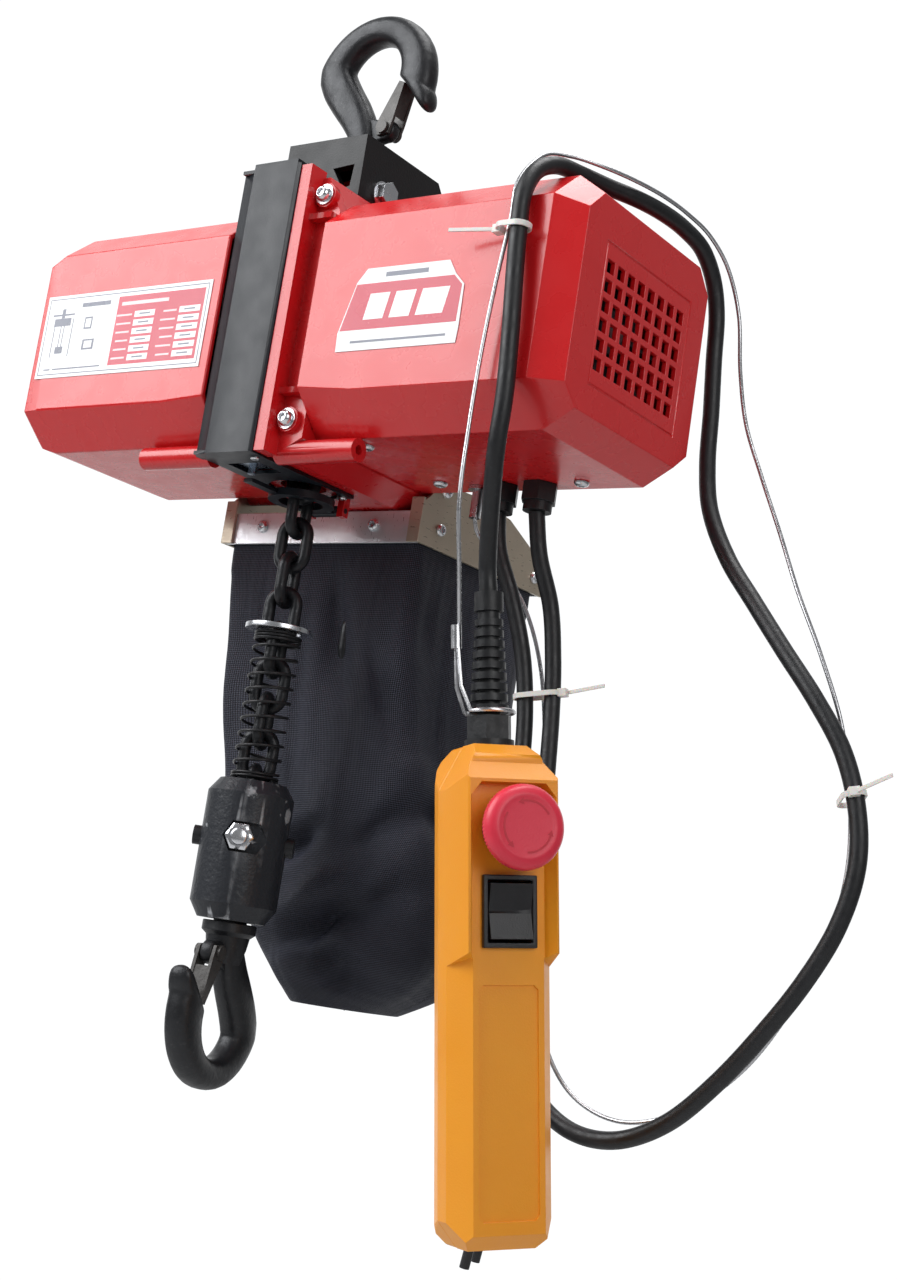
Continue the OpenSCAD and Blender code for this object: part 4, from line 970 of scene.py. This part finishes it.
# Creases of the front: from and to (x, z), width and depth in mm, + is inward
BAG_FOLDS = [((-15, -282), (14, -366), 11, 10), ((27, -326), (53, -381), 8, 11),
             ((36, -436), (70, -408), 8, 11), ((-14, -474), (34, -446), 9, -8),
             ((-24, -491), (40, -466), 8, 17), ((-34, -446), (6, -428), 7, 14),
             ((0, -424), (24, -396), 15, -6), ((8, -494), (44, -500), 9, 10),
             ((-66, -330), (-50, -410), 12, 12), ((-60, -428), (-30, -470), 8, 13),
             ((44, -470), (70, -452), 7, 10), ((-80, -300), (-76, -340), 8, 6)]


def level_at(t):
    """Bag level at 0 (top) to 1, with the bends between the listed ones rounded."""
    z = BAG_TOP + (BAG_LOW - BAG_TOP) * t
    heights = [-level[4] for level in BAG_LEVELS]
    reach = min(14.0, z - BAG_LOW, BAG_TOP - z)
    around = [-(z + reach * k) for k in (-1, -0.5, 0, 0.5, 1)]
    return [z if i == 4 else float(np.mean(np.interp(around, heights, [v[i] for v in BAG_LEVELS])))
            for i in range(6)]


def rounded_ring(level, count):
    """Even points round one level, starting at the back, and the distance run at each."""
    x0, x1, y0, y1, z, r = level
    ring = []
    for cx, cy, first in ((x1 - r, y1 - r, 0), (x0 + r, y1 - r, 90), (x0 + r, y0 + r, 180),
                          (x1 - r, y0 + r, 270)):
        ring += [(cx + r * math.cos(math.radians(first + 10 * k)),
                  cy + r * math.sin(math.radians(first + 10 * k))) for k in range(10)]
    ring = np.array(ring + ring[:1])
    run = np.concatenate([[0], np.cumsum(np.hypot(*np.diff(ring, axis=0).T))])
    at = np.linspace(0, run[-1], count, endpoint=False)
    return np.stack([np.interp(at, run, ring[:, i]) for i in (0, 1)], 1), at


def near_segment(p, a, b):
    """Distance from p to the segment ab, and how far along it the nearest place is."""
    ab, ap = np.subtract(b, a), np.subtract(p, a)
    t = min(1.0, max(0.0, float(np.dot(ap, ab) / np.dot(ab, ab))))
    return float(np.linalg.norm(ap - t * ab)), t


def share(value, low, high):
    """0 below low, 1 above high, straight between."""
    return min(1.0, max(0.0, (value - low) / (high - low)))


def bag_surface():
    """Rings of the bag from its mouth down, and the bottom closing in smaller rings."""
    rows = []
    for j in range(BAG_DOWN):
        level = level_at(j / (BAG_DOWN - 1))
        ring, run = rounded_ring(level, BAG_AROUND)
        rows.append((ring, level[4], run))
    ring, z, run = rows[-1]
    middle = ring.mean(axis=0)
    closing, hole, dome = 12, 0.04, 1.5
    for j in range(1, closing + 1):
        k = 1 - (j / closing) ** 1.5 * (1 - hole)
        rows.append((middle + (ring - middle) * k, z - dome * math.sin(math.pi / 2 * j / closing), run))
    return rows


def fold_depth(x, z):
    """How far the creases of the front pull the cloth inward at a place, mm."""
    depth = 0.0
    for a, b, width, deepest in BAG_FOLDS:
        d, t = near_segment((x, z), a, b)
        depth += deepest * math.exp(-(d / width) ** 2) * math.sin(math.pi * (0.12 + 0.76 * t))
    return depth


def inward_at(x, z, i, front):
    """Inward shift of the bag's side wall from its plain outline, mm."""
    fade = share(-z, 272, 302) * share(z, BAG_LOW + 1, BAG_LOW + 11)
    slump = share(-z, 300, 420)
    around = FULL_TURN * i / BAG_AROUND
    inward = CLOTH_INSET + (fade * fold_depth(x, z) if front else 0.0)
    inward += fade * 0.6 * math.sin(7 * around + z / 31.0) * (0.4 + slump)
    inward += slump * fade * 0.9 * math.sin(z / 9.0 + 3 * math.sin(around * 2))
    return inward - HEM_STEP * share(z, -HEM_Z, 1.5 - HEM_Z)


def unwrap(mesh, uvs, edge):
    """UVs in metres of cloth; the last column of faces ends at the full way round."""
    layer = mesh.uv_layers.new(name="cloth")
    for poly in mesh.polygons:
        wraps = any(mesh.loops[l].vertex_index % BAG_AROUND == BAG_AROUND - 1
                    for l in poly.loop_indices)
        for l in poly.loop_indices:
            v = mesh.loops[l].vertex_index
            u, w = uvs[v]
            layer.data[l].uv = (edge if wraps and v % BAG_AROUND == 0 else u, w)


def bag_piece():
    """The bag as one surface, before it hangs."""
    rows = bag_surface()
    verts, uvs = [], []
    down = 0
    for j, (ring, z, run) in enumerate(rows):
        if j:
            before, before_z, _ = rows[j - 1]
            down += float(np.mean(np.hypot(np.linalg.norm(ring - before, axis=1), before_z - z)))
        middle = ring.mean(axis=0)
        for i, (x, y) in enumerate(ring):
            out = np.array([x, y]) - middle
            out = out / max(1e-6, np.linalg.norm(out))
            inward = CLOTH_INSET
            if j < BAG_DOWN:
                inward = max(-FOLD_OUT, inward_at(x, z, i, y < middle[1] - FRONT_FROM))
            verts.append(Vector((x - out[0] * inward, y - out[1] * inward, z)) * MM)
            uvs.append((run[i] * MM, -down * MM))
    strips = len(rows) - 1
    faces = [(a, d, c, b) for a, b, c, d in strip_faces(0, BAG_AROUND, strips)]
    faces.append(tuple(strips * BAG_AROUND + i for i in range(BAG_AROUND)))
    mesh = new_mesh("chain_bag_mesh", verts, faces)
    unwrap(mesh, uvs, (rows[0][2][-1] + rows[0][2][1]) * MM)
    mesh.materials.append(MAT["bag_fabric"])
    return add_object("chain_bag_piece", mesh, "hoist", "bag_fabric", ("chain_bag",))


def hang(obj):
    """Lets the cloth settle under its own weight; the top stays in its frame."""
    scene = bpy.context.scene
    start = [v.co.copy() for v in obj.data.vertices]
    group = obj.vertex_groups.new(name="held")
    for v in obj.data.vertices:
        z = v.co.z / MM
        hold = 1.0 if z > CLAMP_Z else 0.10 + 0.5 * math.exp(-((z - CLAMP_Z) / 18) ** 2)
        group.add([v.index], hold, "REPLACE")
    cloth = obj.modifiers.new("cloth", "CLOTH")
    wanted = dict(quality=7, mass=0.12, tension_stiffness=12, compression_stiffness=12,
                  shear_stiffness=4, bending_stiffness=0.35, vertex_group_mass=group.name,
                  pin_stiffness=0.5, shrink_min=-0.02, shrink_max=-0.02)
    for setting, value in wanted.items():
        setattr(cloth.settings, setting, value)
    cloth.collision_settings.use_collision = False
    scene.frame_start, scene.frame_end = 1, SETTLE_FRAMES
    cloth.point_cache.frame_start, cloth.point_cache.frame_end = 1, SETTLE_FRAMES
    for frame_number in range(1, SETTLE_FRAMES + 1):
        scene.frame_set(frame_number)
    settled = obj.evaluated_get(bpy.context.evaluated_depsgraph_get()).to_mesh()
    moved = [v.co.copy() for v in settled.vertices]
    obj.modifiers.remove(cloth)
    obj.vertex_groups.clear()
    for v, new, old in zip(obj.data.vertices, moved, start):
        step = new - old
        out = Vector((old.x - BAG_MIDDLE[0], old.y - BAG_MIDDLE[1], 0)).normalized()
        away = step.dot(out)
        step -= out * (away - max(-MOST_IN, min(MOST_OUT, away)))
        if step.length > MOST_MOVED:
            step = step.normalized() * MOST_MOVED
        v.co = old + step
        v.co.z = max(v.co.z, (BAG_LOW - 2.5) * MM)
    scene.frame_set(1)


def thicken(obj, depth):
    """Gives the cloth its thickness, and rounds it once."""
    solid = obj.modifiers.new("thickness", "SOLIDIFY")
    solid.thickness = depth
    solid.offset = -1
    smooth = obj.modifiers.new("smooth", "SUBSURF")
    smooth.levels = smooth.render_levels = 1


bag = bag_piece()
hang(bag)
thicken(bag, 0.9 * MM)
bag.data.shade_smooth()


# ---------- stage ----------

def area_light(name, at, target, size, power, color=(1, 1, 1)):
    data = bpy.data.lights.new(name, "AREA")
    data.shape = "RECTANGLE"
    data.size, data.size_y = size
    data.energy = power
    data.color = color
    obj = bpy.data.objects.new(name, data)
    obj.location = at
    obj.rotation_euler = (Vector(target) - Vector(at)).to_track_quat("-Z", "Y").to_euler()
    bpy.context.scene.collection.objects.link(obj)


FLOOR_R, FLOOR_Z = 2.4, -1.15


def make_floor():
    data = bpy.data.meshes.new("floor")
    bm = bmesh.new()
    bmesh.ops.create_circle(bm, cap_ends=True, segments=96, radius=FLOOR_R)
    bm.to_mesh(data)
    bm.free()
    floor = bpy.data.objects.new("floor", data)
    floor.location = (0, 0, FLOOR_Z)
    pale = Finish("pale_floor", (0.55, 0.55, 0.55), 0.85)
    pale.tone(2.0, 0.2, (0.51, 0.51, 0.51))
    data.materials.append(pale.done())
    bpy.context.scene.collection.objects.link(floor)


def make_world():
    """A studio room: a bright wall behind the object, dimmer all round and lowest down."""
    world = bpy.data.worlds.new("studio")
    world.use_nodes = True
    tree = world.node_tree
    back = tree.nodes["Background"]
    coords = tree.nodes.new("ShaderNodeTexCoord").outputs["Generated"]

    def level(source, low, high, dark, bright, form):
        node = tree.nodes.new("ShaderNodeMapRange")
        node.interpolation_type = form
        for key, value in (("From Min", low), ("From Max", high), ("To Min", dark), ("To Max", bright)):
            node.inputs[key].default_value = value
        tree.links.new(source, node.inputs["Value"])
        return node.outputs[0]

    ahead = tree.nodes.new("ShaderNodeVectorMath")
    ahead.operation = "DOT_PRODUCT"
    ahead.inputs[1].default_value = (-0.589, 0.790, 0.170)
    tree.links.new(coords, ahead.inputs[0])
    split = tree.nodes.new("ShaderNodeSeparateXYZ")
    tree.links.new(coords, split.inputs[0])
    both = tree.nodes.new("ShaderNodeMath")
    both.operation = "MULTIPLY"
    wall = level(ahead.outputs["Value"], 0.45, 0.88, 0.22, 1.05, "SMOOTHSTEP")
    above = level(split.outputs["Z"], -0.26, -0.17, 0.40, 1.0, "LINEAR")
    tree.links.new(wall, both.inputs[0])
    tree.links.new(above, both.inputs[1])
    tree.links.new(both.outputs[0], back.inputs[1])
    back.inputs[0].default_value = (0.98, 0.99, 1.0, 1)
    bpy.context.scene.world = world


def make_lights():
    middle = (0.04, 0, -0.25)
    area_light("key", (-1.05, -1.35, 0.72), middle, (1.7, 1.5), 46, (0.97, 0.985, 1.0))
    area_light("fill", (1.8, -0.9, 0.35), middle, (1.2, 1.2), 12)
    area_light("top", (0.25, 0.1, 1.5), middle, (1.4, 1.0), 24)
    bpy.context.scene.view_settings.view_transform = "Standard"


make_floor()
make_world()
make_lights()
